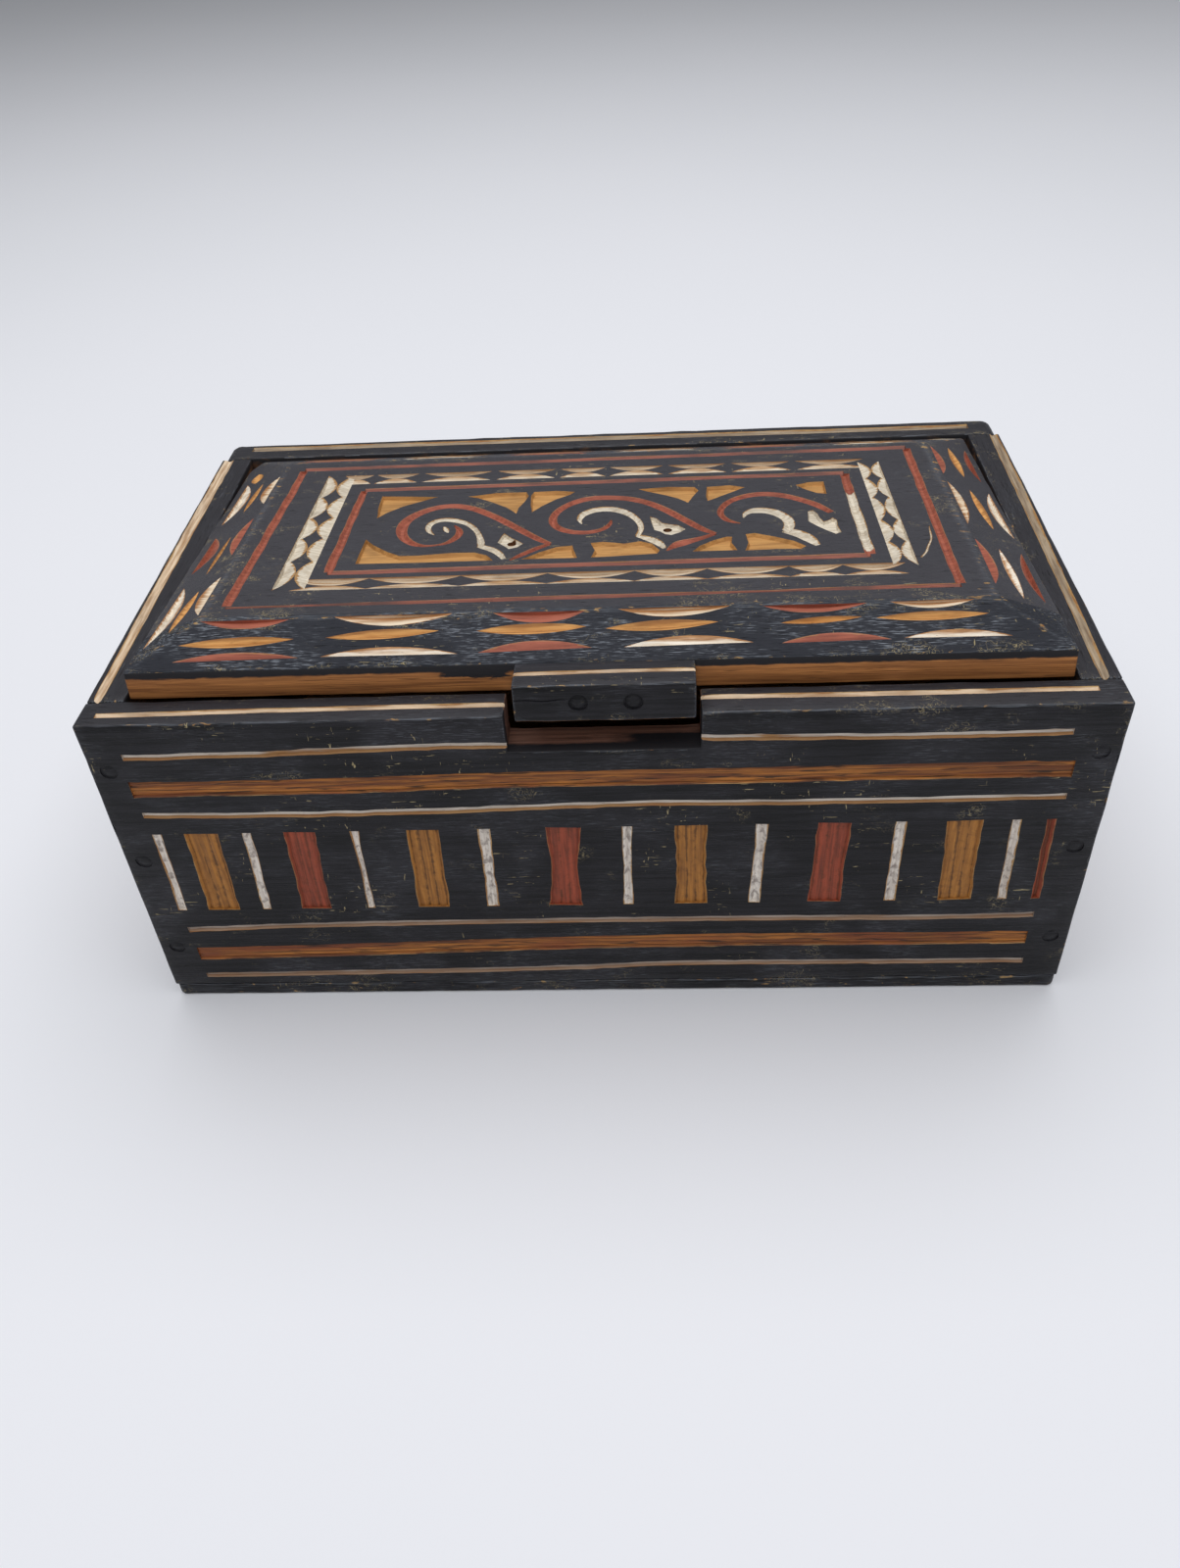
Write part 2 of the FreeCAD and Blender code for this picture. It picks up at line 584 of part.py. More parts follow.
def carve_frames(body):
    """Cuts the two frames into the lid's flat top, first their level sides and then their upright ones."""
    for name, sides in (("level", ((0, 1), (3, 2))), ("upright", ((0, 3), (1, 2)))):
        rows = lid_sketch(body, f"{name}_frame_places")
        for corners in FRAMES:
            for start, end in sides:
                draw_polygon(rows, stripe(corners[start], corners[end], size("frame_cut_width")))
        pocket(body, f"{name}_frame_cuts", rows, False, "Sizes.frame_cut_depth")


def carve_strips(body):
    """Cuts the strips of facing chips between the two frames."""
    gap = size("chip_gap") / 2
    for name, strips in (("level", LEVEL_STRIPS), ("upright", UPRIGHT_STRIPS)):
        chips = lid_sketch(body, f"{name}_strip_places")
        for outer, inner, joints in strips:
            reach = (inner - outer) * STRIP_CHIP_SHARE
            for start, end in zip(joints, joints[1:]):
                for edge, swell in ((outer, reach), (inner, -reach)):
                    if name == "level":
                        draw_leaf(chips, (start + gap, edge), (end - gap, edge), (0, swell))
                    else:
                        draw_leaf(chips, (edge, start + gap), (edge, end - gap), (0, -swell))
        pocket(body, f"{name}_strip_cuts", chips, False, "Sizes.strip_cut_depth")


def carve_scrolls(body):
    """Cuts the scrolls and the sunk grounds between them inside the inner frame."""
    for name, strokes in (("scroll", SCROLL_STROKES), ("hook", SCROLL_HOOKS)):
        scrolls = lid_sketch(body, f"{name}_places")
        for stroke in strokes:
            draw_stroke(scrolls, stroke, size("scroll_cut_width"))
        pocket(body, f"{name}_cuts", scrolls, False, "Sizes.scroll_cut_depth")
    grounds = lid_sketch(body, "ground_places")
    for corners in GROUNDS:
        draw_polygon(grounds, corners)
    pocket(body, "ground_cuts", grounds, False, "Sizes.ground_cut_depth")


def wear_corner(body):
    """Rounds the lid's left corner at the back, where fingers press it down, right through the board."""
    radius = size("lid_worn_corner_radius")
    spare = size("blind_hole_spare")
    inset = radius * (1 - math.sqrt(0.5))
    start, crown, end = Vector(0, -radius), Vector(inset, -inset), Vector(radius, 0)
    outside = [Vector(radius, spare), Vector(-spare, spare), Vector(-spare, -radius)]
    outline = lid_sketch(body, "worn_corner_outline", "0", LID_DEPTH)
    outline.addGeometry(Part.Arc(start, crown, end))
    for here, there in zip([end, *outside], [*outside, start]):
        outline.addGeometry(Part.LineSegment(here, there))
    pocket(body, "worn_corner", outline, False)


def make_lid_board():
    """The lid: a carved board with a broad bevel all round, pin bores at its ends and peg holes in front."""
    body = new_body("lid_board")
    outline = sketch_on(body, "outline", "XY_Plane")
    draw_rectangle(outline, LID_WIDTH, LID_DEPTH)
    pad(body, "board", outline, "Sizes.lid_edge_height")
    foot = sketch_on(body, "bevel_foot", "XY_Plane", "Sizes.lid_edge_height")
    draw_rectangle(foot, LID_WIDTH, LID_DEPTH)
    crown = sketch_on(body, "bevel_crown", "XY_Plane", LID_CROWN)
    inset = "Sizes.lid_bevel_inset"
    draw_rectangle(crown, f"{LID_WIDTH} - 2 * {inset}", f"{LID_DEPTH} - 2 * {inset}", inset, inset)
    bevel = body.newObject("PartDesign::AdditiveLoft", "bevel")
    bevel.Profile = foot
    bevel.Sections = [crown]
    bevel.Ruled = True
    doc.recompute()
    bore_diameter = "Sizes.pivot_pin_diameter + 2 * Sizes.pivot_running_gap"
    bore_depth = "Sizes.pivot_pin_bite + Sizes.blind_hole_spare"
    for side, offset, reverse in (("left", None, True), ("right", LID_WIDTH, False)):
        bore = sketch_on(body, f"pivot_place_{side}", "YZ_Plane", offset)
        draw_circle(bore, LID_PIVOT_ALONG, LID_PIVOT_UP, bore_diameter)
        pocket(body, f"pivot_bore_{side}", bore, reverse, bore_depth)
    holes = sketch_on(body, "catch_peg_places", "XZ_Plane")
    for offset in CATCH_PEG_OFFSETS.values():
        x = f"{CATCH_FROM_LEFT} - {LID_FROM_LEFT} + {offset}"
        draw_circle(holes, x, "Sizes.catch_peg_above_lid_underside", "Sizes.catch_peg_diameter")
    pocket(body, "catch_peg_holes", holes, False, "Sizes.catch_peg_bite + Sizes.blind_hole_spare")
    carve_frames(body)
    carve_strips(body)
    carve_scrolls(body)
    carve_leaves(body)
    wear_corner(body)
    corner_x = size("wall_thickness") + size("lid_side_gap") - size("box_width") / 2
    corner_y = size("wall_thickness") + size("lid_front_gap") - size("box_depth") / 2
    body.Placement = ajar(Vector(corner_x, corner_y, size("rim_height") - size("lid_edge_height")))


def make_catch():
    """The block that fills the notch when the lid is shut, and the two pegs that hold it to the lid."""
    body = new_body("catch_block")
    outline = sketch_on(body, "outline", "XZ_Plane")
    draw_rectangle(outline, "Sizes.catch_width", CATCH_HEIGHT)
    pad(body, "block", outline, CATCH_THICKNESS, reverse=True)
    holes = sketch_on(body, "peg_places", "XZ_Plane")
    for offset in CATCH_PEG_OFFSETS.values():
        draw_circle(holes, offset, CATCH_PEG_UP, "Sizes.catch_peg_diameter")
    pocket(body, "peg_holes", holes, reverse=False)

    def front_rim(box):
        """The four straight edges of the front face."""
        long_enough = max(box.XLength, box.ZLength) > size("catch_peg_diameter") + NEAR
        return at(box.YMin, box.YMax, 0) and long_enough

    round_edges(body, "worn_edges", "Sizes.catch_edge_wear", front_rim)
    corner_x = size("notch_from_left") + size("catch_from_notch_left") - size("box_width") / 2
    corner_y = size("catch_front_setback") - size("box_depth") / 2
    corner_z = size("rim_height") - size("notch_depth") + size("catch_ledge_gap")
    body.Placement = ajar(Vector(corner_x, corner_y, corner_z))
    peg_up = size("catch_peg_above_lid_underside") - size("lid_edge_height")
    for side in CATCH_PEG_OFFSETS:
        length = f"{CATCH_THICKNESS} + Sizes.catch_peg_bite"
        shank = peg(f"catch_peg_{side}", "Sizes.catch_peg_diameter", length)
        x = corner_x + size(f"catch_peg_{side}_offset")
        shank.Placement = ajar(Vector(x, corner_y, size("rim_height") + peg_up), TOWARDS_BACK)


def check_document():
    """Stops with a message if any object failed or any piece is not one valid solid."""
    doc.recompute()
    for thing in doc.Objects:
        if {"Invalid", "Error"} & set(thing.State):
            raise ValueError(f"{thing.Label} did not recompute: {thing.State}")
    for piece in pieces:
        shape = piece.Shape
        if shape.isNull() or not shape.isValid() or len(shape.Solids) != 1:
            raise ValueError(f"{piece.Label} is not one valid solid")


def write_pieces():
    """Writes each piece to its own file, named by its label."""
    os.makedirs("parts", exist_ok=True)
    for piece in pieces:
        piece.Shape.exportStep(f"parts/{piece.Label}.step")
        print(f"{piece.Label}: {piece.Shape.Volume / 1000:.2f} cm3")


fill_sheet()
make_front_wall()
make_back_wall()
make_side_wall("left_wall", f"-{HALF_WIDTH}", 0)
make_side_wall("right_wall", f"{HALF_WIDTH} - Sizes.wall_thickness", size("wall_thickness"))
make_base_board()
make_box_pegs()
make_lid_board()
make_catch()
check_document()
write_pieces()
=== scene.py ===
"""Looks of a chip-carved wooden puzzle box: black paint, cut ornament filled with white, ochre and red.

The boards are carved the way a maker does it: each line, bar and leaf is a cutting solid taken out of a
worn board, so the ornament has real depth. Sizes are millimetres until a piece is finished.
"""

import json
import logging
import math
from dataclasses import dataclass
from enum import Enum
from typing import Callable, ClassVar, Iterable, Sequence

import bmesh
import bpy
import numpy as np
from mathutils import Matrix, Vector, noise


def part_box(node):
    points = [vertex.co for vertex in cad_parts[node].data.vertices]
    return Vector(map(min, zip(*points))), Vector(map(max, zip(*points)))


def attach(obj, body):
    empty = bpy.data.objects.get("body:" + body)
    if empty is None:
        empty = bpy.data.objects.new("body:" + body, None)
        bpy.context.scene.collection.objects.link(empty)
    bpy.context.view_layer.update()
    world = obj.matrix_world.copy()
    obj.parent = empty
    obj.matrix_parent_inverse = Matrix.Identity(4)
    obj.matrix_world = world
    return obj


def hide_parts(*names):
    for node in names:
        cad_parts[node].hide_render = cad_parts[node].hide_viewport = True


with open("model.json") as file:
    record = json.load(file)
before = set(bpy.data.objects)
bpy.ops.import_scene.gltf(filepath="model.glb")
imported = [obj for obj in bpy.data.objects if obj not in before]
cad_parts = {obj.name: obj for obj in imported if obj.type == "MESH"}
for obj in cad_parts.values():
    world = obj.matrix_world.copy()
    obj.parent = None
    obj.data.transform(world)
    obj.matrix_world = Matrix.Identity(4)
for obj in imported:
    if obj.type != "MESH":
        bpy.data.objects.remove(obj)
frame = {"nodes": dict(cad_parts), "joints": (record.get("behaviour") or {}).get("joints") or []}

LOG = logging.getLogger("puzzle_box")
MM = 0.001
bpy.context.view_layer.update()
HINGE = frame["joints"][0]
PIVOT = Vector(HINGE["pos_m"]) / MM
AJAR = math.radians(-HINGE["range_deg"][0])

Triple = tuple[float, float, float]
Colour = tuple[float, float, float]
Outline = Sequence[tuple[float, float]]


class Paint(Enum):
    """What covers a surface of the box."""

    WALL_BLACK = "wall_black"
    LID_BLACK = "lid_black"
    BARE = "bare_wood"
    LEDGE = "ledge_wood"
    LID_EDGE = "lid_edge_wood"
    WHITE = "white_fill"
    CREAM = "cream_fill"
    SCROLL = "scroll_white"
    LINE = "white_line"
    LOW_LINE = "low_line"
    RIM_LINE = "rim_line"
    DULL_LINE = "dull_line"
    STRIP = "strip_white"
    INSIDE = "inside_wood"
    WHITE_BAR = "white_bar"
    OCHRE = "ochre_fill"
    OCHRE_BAR = "ochre_bar"
    GROUND = "ochre_ground"
    RED = "red_fill"
    FRAME = "frame_red"
    RED_BAR = "red_bar"
    BROWN = "brown_band"
    PEG = "peg_wood"


# Shading


class Wire:
    """An output socket of a node tree that takes part in Python arithmetic."""

    def __init__(self, kit: "NodeKit", socket: bpy.types.NodeSocket) -> None:
        """Keeps the socket with the tree it belongs to."""
        self.kit = kit
        self.socket = socket

    def _math(self, operation: str, first: "Wire | float", second: "Wire | float") -> "Wire":
        """Adds a math node.

        Args:
            operation: Name of the operation.
            first: First value.
            second: Second value.

        Returns:
            The node's result.
        """
        values = {"Value": first, "Value_001": second}
        return self.kit.node("ShaderNodeMath", {"operation": operation}, values)

    def __add__(self, other: "Wire | float") -> "Wire":
        """self + other."""
        return self._math("ADD", self, other)

    def __radd__(self, other: float) -> "Wire":
        """other + self."""
        return self._math("ADD", other, self)

    def __sub__(self, other: "Wire | float") -> "Wire":
        """self - other."""
        return self._math("SUBTRACT", self, other)

    def __rsub__(self, other: float) -> "Wire":
        """other - self."""
        return self._math("SUBTRACT", other, self)

    def __mul__(self, other: "Wire | float") -> "Wire":
        """self * other."""
        return self._math("MULTIPLY", self, other)

    def __rmul__(self, other: float) -> "Wire":
        """other * self."""
        return self._math("MULTIPLY", other, self)

    def __abs__(self) -> "Wire":
        """The value without its sign."""
        return self._math("ABSOLUTE", self, 0.0)

    def __or__(self, other: "Wire | float") -> "Wire":
        """The larger of the two values."""
        return self._math("MAXIMUM", self, other)

    def between(self, start: float, end: float) -> "Wire":
        """Smooth step of this value.

        Args:
            start: Value that gives 0.
            end: Value that gives 1, below start for a falling step.

        Returns:
            The step, from 0 to 1.
        """
        steps = {"Value": self, "From Min": start, "From Max": end}
        return self.kit.node("ShaderNodeMapRange", {"interpolation_type": "SMOOTHSTEP"}, steps, "Result")


class NodeKit:
    """A node tree whose sockets are handed out as wires."""

    def __init__(self, tree: bpy.types.NodeTree) -> None:
        """Keeps the tree."""
        self.tree = tree

    def node(self, kind: str, settings: dict, sockets: dict, output: str | int = 0) -> Wire:
        """Adds a node.

        Args:
            kind: Type of the node.
            settings: Properties of the node, set first.
            sockets: Value or link of each input, by identifier, name or number.
            output: Output to hand back.

        Returns:
            The chosen output.
        """
        made = self.tree.nodes.new(kind)
        for key, value in settings.items():
            setattr(made, key, value)
        for key, value in sockets.items():
            self.feed(made, key, value)
        named = [socket for socket in made.outputs if socket.identifier == output]
        return Wire(self, named[0] if named else made.outputs[output])

    def feed(self, node: bpy.types.Node, key: str | int, value: "Wire | float | Sequence[float]") -> None:
        """Sets or links one input.

        Args:
            node: Node to feed.
            key: Identifier, name or number of the input.
            value: Link or plain value.
        """
        named = [socket for socket in node.inputs if socket.identifier == key]
        socket = named[0] if named else node.inputs[key]
        if isinstance(value, Wire):
            self.tree.links.new(value.socket, socket)
        elif socket.type == "RGBA":
            socket.default_value = (*value, 1.0)
        else:
            socket.default_value = value


class ShaderKit(NodeKit):
    """A material's node tree, with the board's own coordinates at hand."""

    def __init__(self, name: str) -> None:
        """Starts a material of this name that holds one surface shader."""
        self.material = bpy.data.materials.new(name)
        self.material.use_nodes = True
        super().__init__(self.material.node_tree)
        self.surface = self.tree.nodes["Principled BSDF"]
        self.board = self.attribute("board", "Vector")

    def attribute(self, name: str, output: str = "Fac") -> Wire:
        """A mesh attribute: Fac gives a number, Vector a vector."""
        return self.node("ShaderNodeAttribute", {"attribute_name": name}, {}, output)

    def along(self, axis: str) -> Wire:
        """One of the board's own coordinates, in millimetres: X follows the grain."""
        return self.node("ShaderNodeSeparateXYZ", {}, {"Vector": self.board}, axis)

    def grain(self, rate: Triple, detail: float = 3.0, twist: float = 0.0, shift: float = 0.0) -> Wire:
        """Noise over the board.

        Args:
            rate: Noise cells per millimetre along, across and through the grain.
            detail: Octaves of the noise.
            twist: Distortion of the noise.
            shift: Moves the noise to another part of its field.

        Returns:
            Noise from 0 to 1, about 0.5.
        """
        place = self.node("ShaderNodeMapping", {}, {
            "Vector": self.board, "Scale": rate, "Location": (shift, shift, shift)})
        return self.node("ShaderNodeTexNoise", {}, {
            "Vector": place, "Scale": 1.0, "Detail": detail, "Roughness": 0.55, "Distortion": twist})

    def mix(self, share: Wire, under: "Wire | Colour", over: "Wire | Colour") -> Wire:
        """Lays one colour over another.

        Args:
            share: How much of the upper colour shows.
            under: Lower colour.
            over: Upper colour.

        Returns:
            The mixed colour.
        """
        return self.node("ShaderNodeMix", {"data_type": "RGBA"}, {
            "Factor_Float": share, "A_Color": under, "B_Color": over}, "Result_Color")

    def close(self, colour: Wire, rough: Wire, height: Wire, relief: float,
              shine: float) -> bpy.types.Material:
        """Feeds the surface shader.

        Args:
            colour: Colour of the surface.
            rough: Roughness.
            height: Small relief, from 0 to 1.
            relief: Height of the relief in millimetres.
            shine: Specular level.

        Returns:
            The finished material.
        """
        bump = self.node("ShaderNodeBump", {}, {"Height": height, "Distance": relief * MM, "Strength": 1.0})
        inputs = {"Base Color": colour, "Roughness": rough, "Normal": bump, "Specular IOR Level": shine}
        for key, value in inputs.items():
            self.feed(self.surface, key, value)
        return self.material


def tone(red: int, green: int, blue: int) -> Colour:
    """Linear colour for a screen colour, each part of it from 0 to 255."""
    shares = [value / 255.0 for value in (red, green, blue)]
    linear = [s / 12.92 if s <= 0.04045 else ((s + 0.055) / 1.055) ** 2.4 for s in shares]
    return (linear[0], linear[1], linear[2])


RAW_WOOD = tone(152, 104, 60)
DARK_WOOD = tone(72, 46, 28)
TAN = tone(186, 152, 100)
BLACK = tone(33, 32, 36)
# Grey that dust and painted sheen give black paint.
DUST_AND_SHEEN_BLACK = tone(63, 62, 68)
DEEP_BLACK = tone(13, 13, 15)
# Painted sheen: the bluish tint of the lid's front bevel.
PAINTED_SHEEN_NAVY = tone(30, 34, 43)
# Painted highlight: glints of the raised grain, and pale edges that are partly rubbed paint.
PAINTED_HIGHLIGHT = tone(140, 146, 156)
LINT = tone(176, 160, 120)


@dataclass(frozen=True)
class BlackPaint:
    """Thin black paint over open grain: scuffed, fluffy, and rubbed through at the edges.

    haze is how grey what faces up turns, painted sheen as well as dust; glint how many painted highlights the
    raised grain shows, more so in front of front; and rub how pale the edges are, partly rubbed paint, partly
    painted highlight.
    """

    relief: float = 0.10
    roughness: float = 0.42
    shine: float = 0.28
    dust: float = 0.5
    painted_glint: float = 0.16
    fluff: float = 0.55
    front: float = -200.0
    edge_wear_and_highlight: float = 0.45
    painted_top_sheen: float = 0.75

    def material(self, name: str) -> bpy.types.Material:
        """Builds the material under a name."""
        kit = ShaderKit(name)
        streak = kit.grain((0.05, 1.4, 1.4), 5.0, 0.4)
        fine = kit.grain((0.16, 5.5, 5.5), 3.0, 0.2, 7.0)
        cloud = kit.grain((0.04, 0.06, 0.06), 3.0, 0.6, 19.0)
        scuff = kit.grain((0.35, 0.9, 0.9), 5.0, 0.5, 31.0)
        pore = kit.grain((0.22, 3.2, 3.2), 2.0, 0.3, 43.0).between(0.64, 0.72)
        patch = kit.grain((0.05, 0.07, 0.07), 2.0, 0.4, 53.0)
        level_cut = kit.grain((0.28, 2.6, 2.6), 2.0, 0.6, 61.0).between(0.69, 0.73)
        steep_cut = kit.grain((2.4, 0.45, 0.45), 2.0, 0.6, 71.0).between(0.70, 0.74)
        hair = abs(kit.grain((0.5, 0.55, 0.55), 2.0, 1.6, 83.0) - 0.5).between(0.020, 0.006)
        tuft = kit.grain((0.10, 0.16, 0.16), 3.0, 0.3, 97.0)
        edge = kit.attribute("wear")
        rubbed = (edge * 0.55 + scuff + fine * 0.2).between(1.17, 1.26)
        flecks = (level_cut | steep_cut) * (patch.between(0.50, 0.64) + edge * 0.3).between(0.2, 0.9)
        fluff = hair * (tuft + edge * 0.10).between(0.60, 0.72) * self.fluff
        before = kit.along("Y").between(self.front + 1.0, self.front)
        raised = kit.grain((0.4, 4.4, 4.4), 3.0, 0.3, 103.0).between(0.52, 0.68)
        crowd = (cloud + tuft * 0.4 + before * 0.06).between(0.62, 0.84)
        # Painted highlights: short pale streaks on the raised grain, in clusters, strongest on the front
        # bevel.
        painted_glint = raised * crowd * (self.painted_glint + before * 0.7)
        colour = kit.mix(streak.between(0.30, 0.72), DEEP_BLACK, BLACK)
        dust = (cloud + fine * 0.4).between(0.60, 0.95) * self.dust
        # Painted sheen: what faces up is lightened towards grey, together with the dust clouds.
        painted_top_sheen = kit.attribute("tilt").between(0.5, 0.9) * (0.6 + fine * 0.8) * self.painted_top_sheen
        colour = kit.mix(dust | painted_top_sheen, colour, DUST_AND_SHEEN_BLACK)
        # Painted sheen: the front bevel is tinted bluish.
        colour = kit.mix(before * 0.75, colour, PAINTED_SHEEN_NAVY)
        colour = kit.mix(painted_glint, colour, PAINTED_HIGHLIGHT)
        # Pale edges: partly rubbed paint, partly painted highlight.
        colour = kit.mix((edge + fine * 0.7 - 0.3).between(0.82, 1.05) * self.edge_wear_and_highlight, colour, PAINTED_HIGHLIGHT)
        colour = kit.mix(pore * 0.75, colour, DEEP_BLACK)
        colour = kit.mix(rubbed * 0.85, colour, kit.mix(fine.between(0.4, 0.6), RAW_WOOD, TAN))
        colour = kit.mix((flecks | fluff) * 0.85, colour, LINT)
        rough = self.roughness + (fine - 0.5) * 0.35 + before * 0.25 + rubbed * 0.2 + fluff * 0.3
        height = streak * 0.5 + fine * 0.4 + raised * 0.25 - pore * 0.5 - rubbed * 0.15
        return kit.close(colour, rough, height, self.relief, self.shine)


@dataclass(frozen=True)
class Smear:
    """Black paint on bare wood where it passes from start to end along an axis, with a ragged limit."""

    axis: str
    start: float
    end: float
    ragged: float = 1.0


@dataclass(frozen=True)
class BareWood:
    """Unpainted brown wood, black past any of runs and where all of blot meet: paint run over the lid's edge
    and the ledge's front, the top band of the inner faces darkened beside the lid, and a black patch on the
    ledge under the catch.
    """

    light: Colour = RAW_WOOD
    dark: Colour = tone(98, 64, 38)
    runs: tuple[Smear, ...] = ()
    blot: tuple[Smear, ...] = ()

    def material(self, name: str) -> bpy.types.Material:
        """Builds the material under a name."""
        kit = ShaderKit(name)
        streak = kit.grain((0.02, 1.1, 1.1), 5.0, 0.5)
        fine = kit.grain((0.06, 5.0, 5.0), 3.0, 0.2, 11.0)
        stray = kit.grain((0.25, 0.8, 0.8), 4.0, 0.3, 59.0) - 0.5
        colour = kit.mix((streak * 0.5 + fine * 0.5).between(0.36, 0.64), self.dark, self.light)
        colour = kit.mix(fine.between(0.60, 0.70) * 0.6, colour, DARK_WOOD)
        pore = kit.grain((0.12, 3.6, 3.6), 2.0, 0.2, 47.0).between(0.62, 0.70)
        colour = kit.mix(pore * 0.6, colour, DARK_WOOD)
        covers = [(kit.along(run.axis) + stray * run.ragged).between(run.start, run.end)
                  for run in (*self.runs, *self.blot)]
        for cover in covers[:len(self.runs)]:
            colour = kit.mix(cover, colour, BLACK)
        if self.blot:
            first, *others = covers[len(self.runs):]
            colour = kit.mix(math.prod(others, start=first), colour, BLACK)
        rough, height = 0.62 + (fine - 0.5) * 0.2, streak * 0.4 + fine * 0.6
        return kit.close(colour, rough, height, relief=0.08, shine=0.3)


@dataclass(frozen=True)
class PaintFill:
    """Matt paint in a cut, worn off towards the rim of the cut.

    run gives the streaks' rate along X, Y and Z, and mottle that of the stains. shelf is how bare the cut's
    upward wall and stretches of its floor are, fade how far each facet turns to the wood's tone towards its
    upper side as painted shade, and scores how dark the painted shade is in the valleys between the flutes.
    """

    light: Colour
    dark: Colour
    rim: float = 0.20
    ragged: float = 0.5
    shelf: float = 0.0
    stain: float = 0.25
    run: Triple = (0.10, 1.5, 1.5)
    valley_shade_amount: float = 0.0
    rim_and_shade_wood: Colour = TAN
    painted_facet_shade: float = 0.0
    stain_tone: Colour = DARK_WOOD
    mottle: Triple = (0.09, 0.25, 0.25)

    def material(self, name: str) -> bpy.types.Material:
        """Builds the material under a name."""
        kit = ShaderKit(name)
        streak = kit.grain(self.run, 4.0, 0.3)
        fine = kit.grain((0.5, 4.0, 4.0), 3.0, 0.2, 5.0)
        patch = kit.grain(self.mottle, 3.0, 0.5, 23.0)
        depth = kit.attribute("depth")
        # Painted shade: the valleys between the flutes are darker where the cut is deep.
        painted_valley_shade = (depth + (streak - 0.5) * 0.5 + (patch - 0.5) * 0.2).between(0.56, 0.66)
        wander = (streak - 0.5) * self.ragged + (patch - 0.5) * self.ragged
        worn = (depth + wander).between(self.rim, self.rim * 0.35)
        if self.shelf:
            lit = kit.attribute("tilt") + (patch - 0.5) * 2.2 + (streak - 0.5) * 0.7
            worn = worn | lit.between(0.16, 0.38) * self.shelf
        # Painted shade: each facet turns to the wood's tone towards its upper side.
        if self.painted_facet_shade:
            fall = kit.attribute("fall") + (streak - 0.5) * 0.9 + (patch - 0.5) * 0.5
            worn = worn | fall.between(0.62, 0.12) * self.painted_facet_shade
        colour = kit.mix(streak.between(0.25, 0.7), self.dark, self.light)
        colour = kit.mix(patch.between(0.46, 0.7) * self.stain, colour, self.stain_tone)
        colour = kit.mix(painted_valley_shade * self.valley_shade_amount, colour, DARK_WOOD)
        # Wood's tone, for the worn rims and for the painted shade on the facets.
        wood = kit.mix((fine * 0.5 + streak * 0.5).between(0.36, 0.62), RAW_WOOD, self.rim_and_shade_wood)
        colour = kit.mix(worn, colour, wood)
        colour = kit.mix(fine.between(0.66, 0.74) * 0.5, colour, DARK_WOOD)
        rough, height = 0.6 + (fine - 0.5) * 0.25, streak * 0.5 + fine * 0.5
        return kit.close(colour, rough, height, relief=0.10, shine=0.3)


@dataclass(frozen=True)
class BandFill:
    """Thin red-brown stain with a golden heart over dark grain streaks; painted shade darkens its flute
    valleys and edges.
    """

    light: Colour = tone(186, 119, 52)
    dark: Colour = tone(106, 60, 33)

    def material(self, name: str) -> bpy.types.Material:
        """Builds the material under a name."""
        kit = ShaderKit(name)
        streak = kit.grain((0.03, 0.9, 0.9), 5.0, 0.3)
        fine = kit.grain((0.14, 4.0, 4.0), 3.0, 0.2, 13.0)
        patch = kit.grain((0.04, 0.15, 0.15), 2.0, 0.4, 29.0)
        gold = (streak * 0.7 + fine * 0.3).between(0.40, 0.62)
        colour = kit.mix(gold, self.dark, self.light)
        colour = kit.mix(patch.between(0.46, 0.66) * 0.55, colour, tone(134, 68, 40))
        depth = kit.attribute("depth")
        pore = kit.grain((0.10, 1.7, 1.7), 3.0, 0.3, 41.0).between(0.56, 0.64)
        # Painted shade in the flute valleys, darker where the band is cut deep; laid with the dark pores.
        painted_valley_shade = (depth + (streak - 0.5) * 0.6).between(0.50, 0.58)
        colour = kit.mix((pore | painted_valley_shade * 0.7) * 0.85, colour, tone(40, 28, 22))
        # Edges of the band: dark brown painted shadow, mixed with worn tan wood.
        rim = (depth + (fine - 0.5) * 0.5 + (patch - 0.5) * 0.6).between(0.22, 0.06)
        colour = kit.mix(rim * 0.8, colour, kit.mix(fine.between(0.45, 0.6), tone(92, 56, 36), TAN))
        rough, height = 0.58 + (fine - 0.5) * 0.3, streak * 0.6 + fine * 0.4
        return kit.close(colour, rough, height, relief=0.12, shine=0.35)


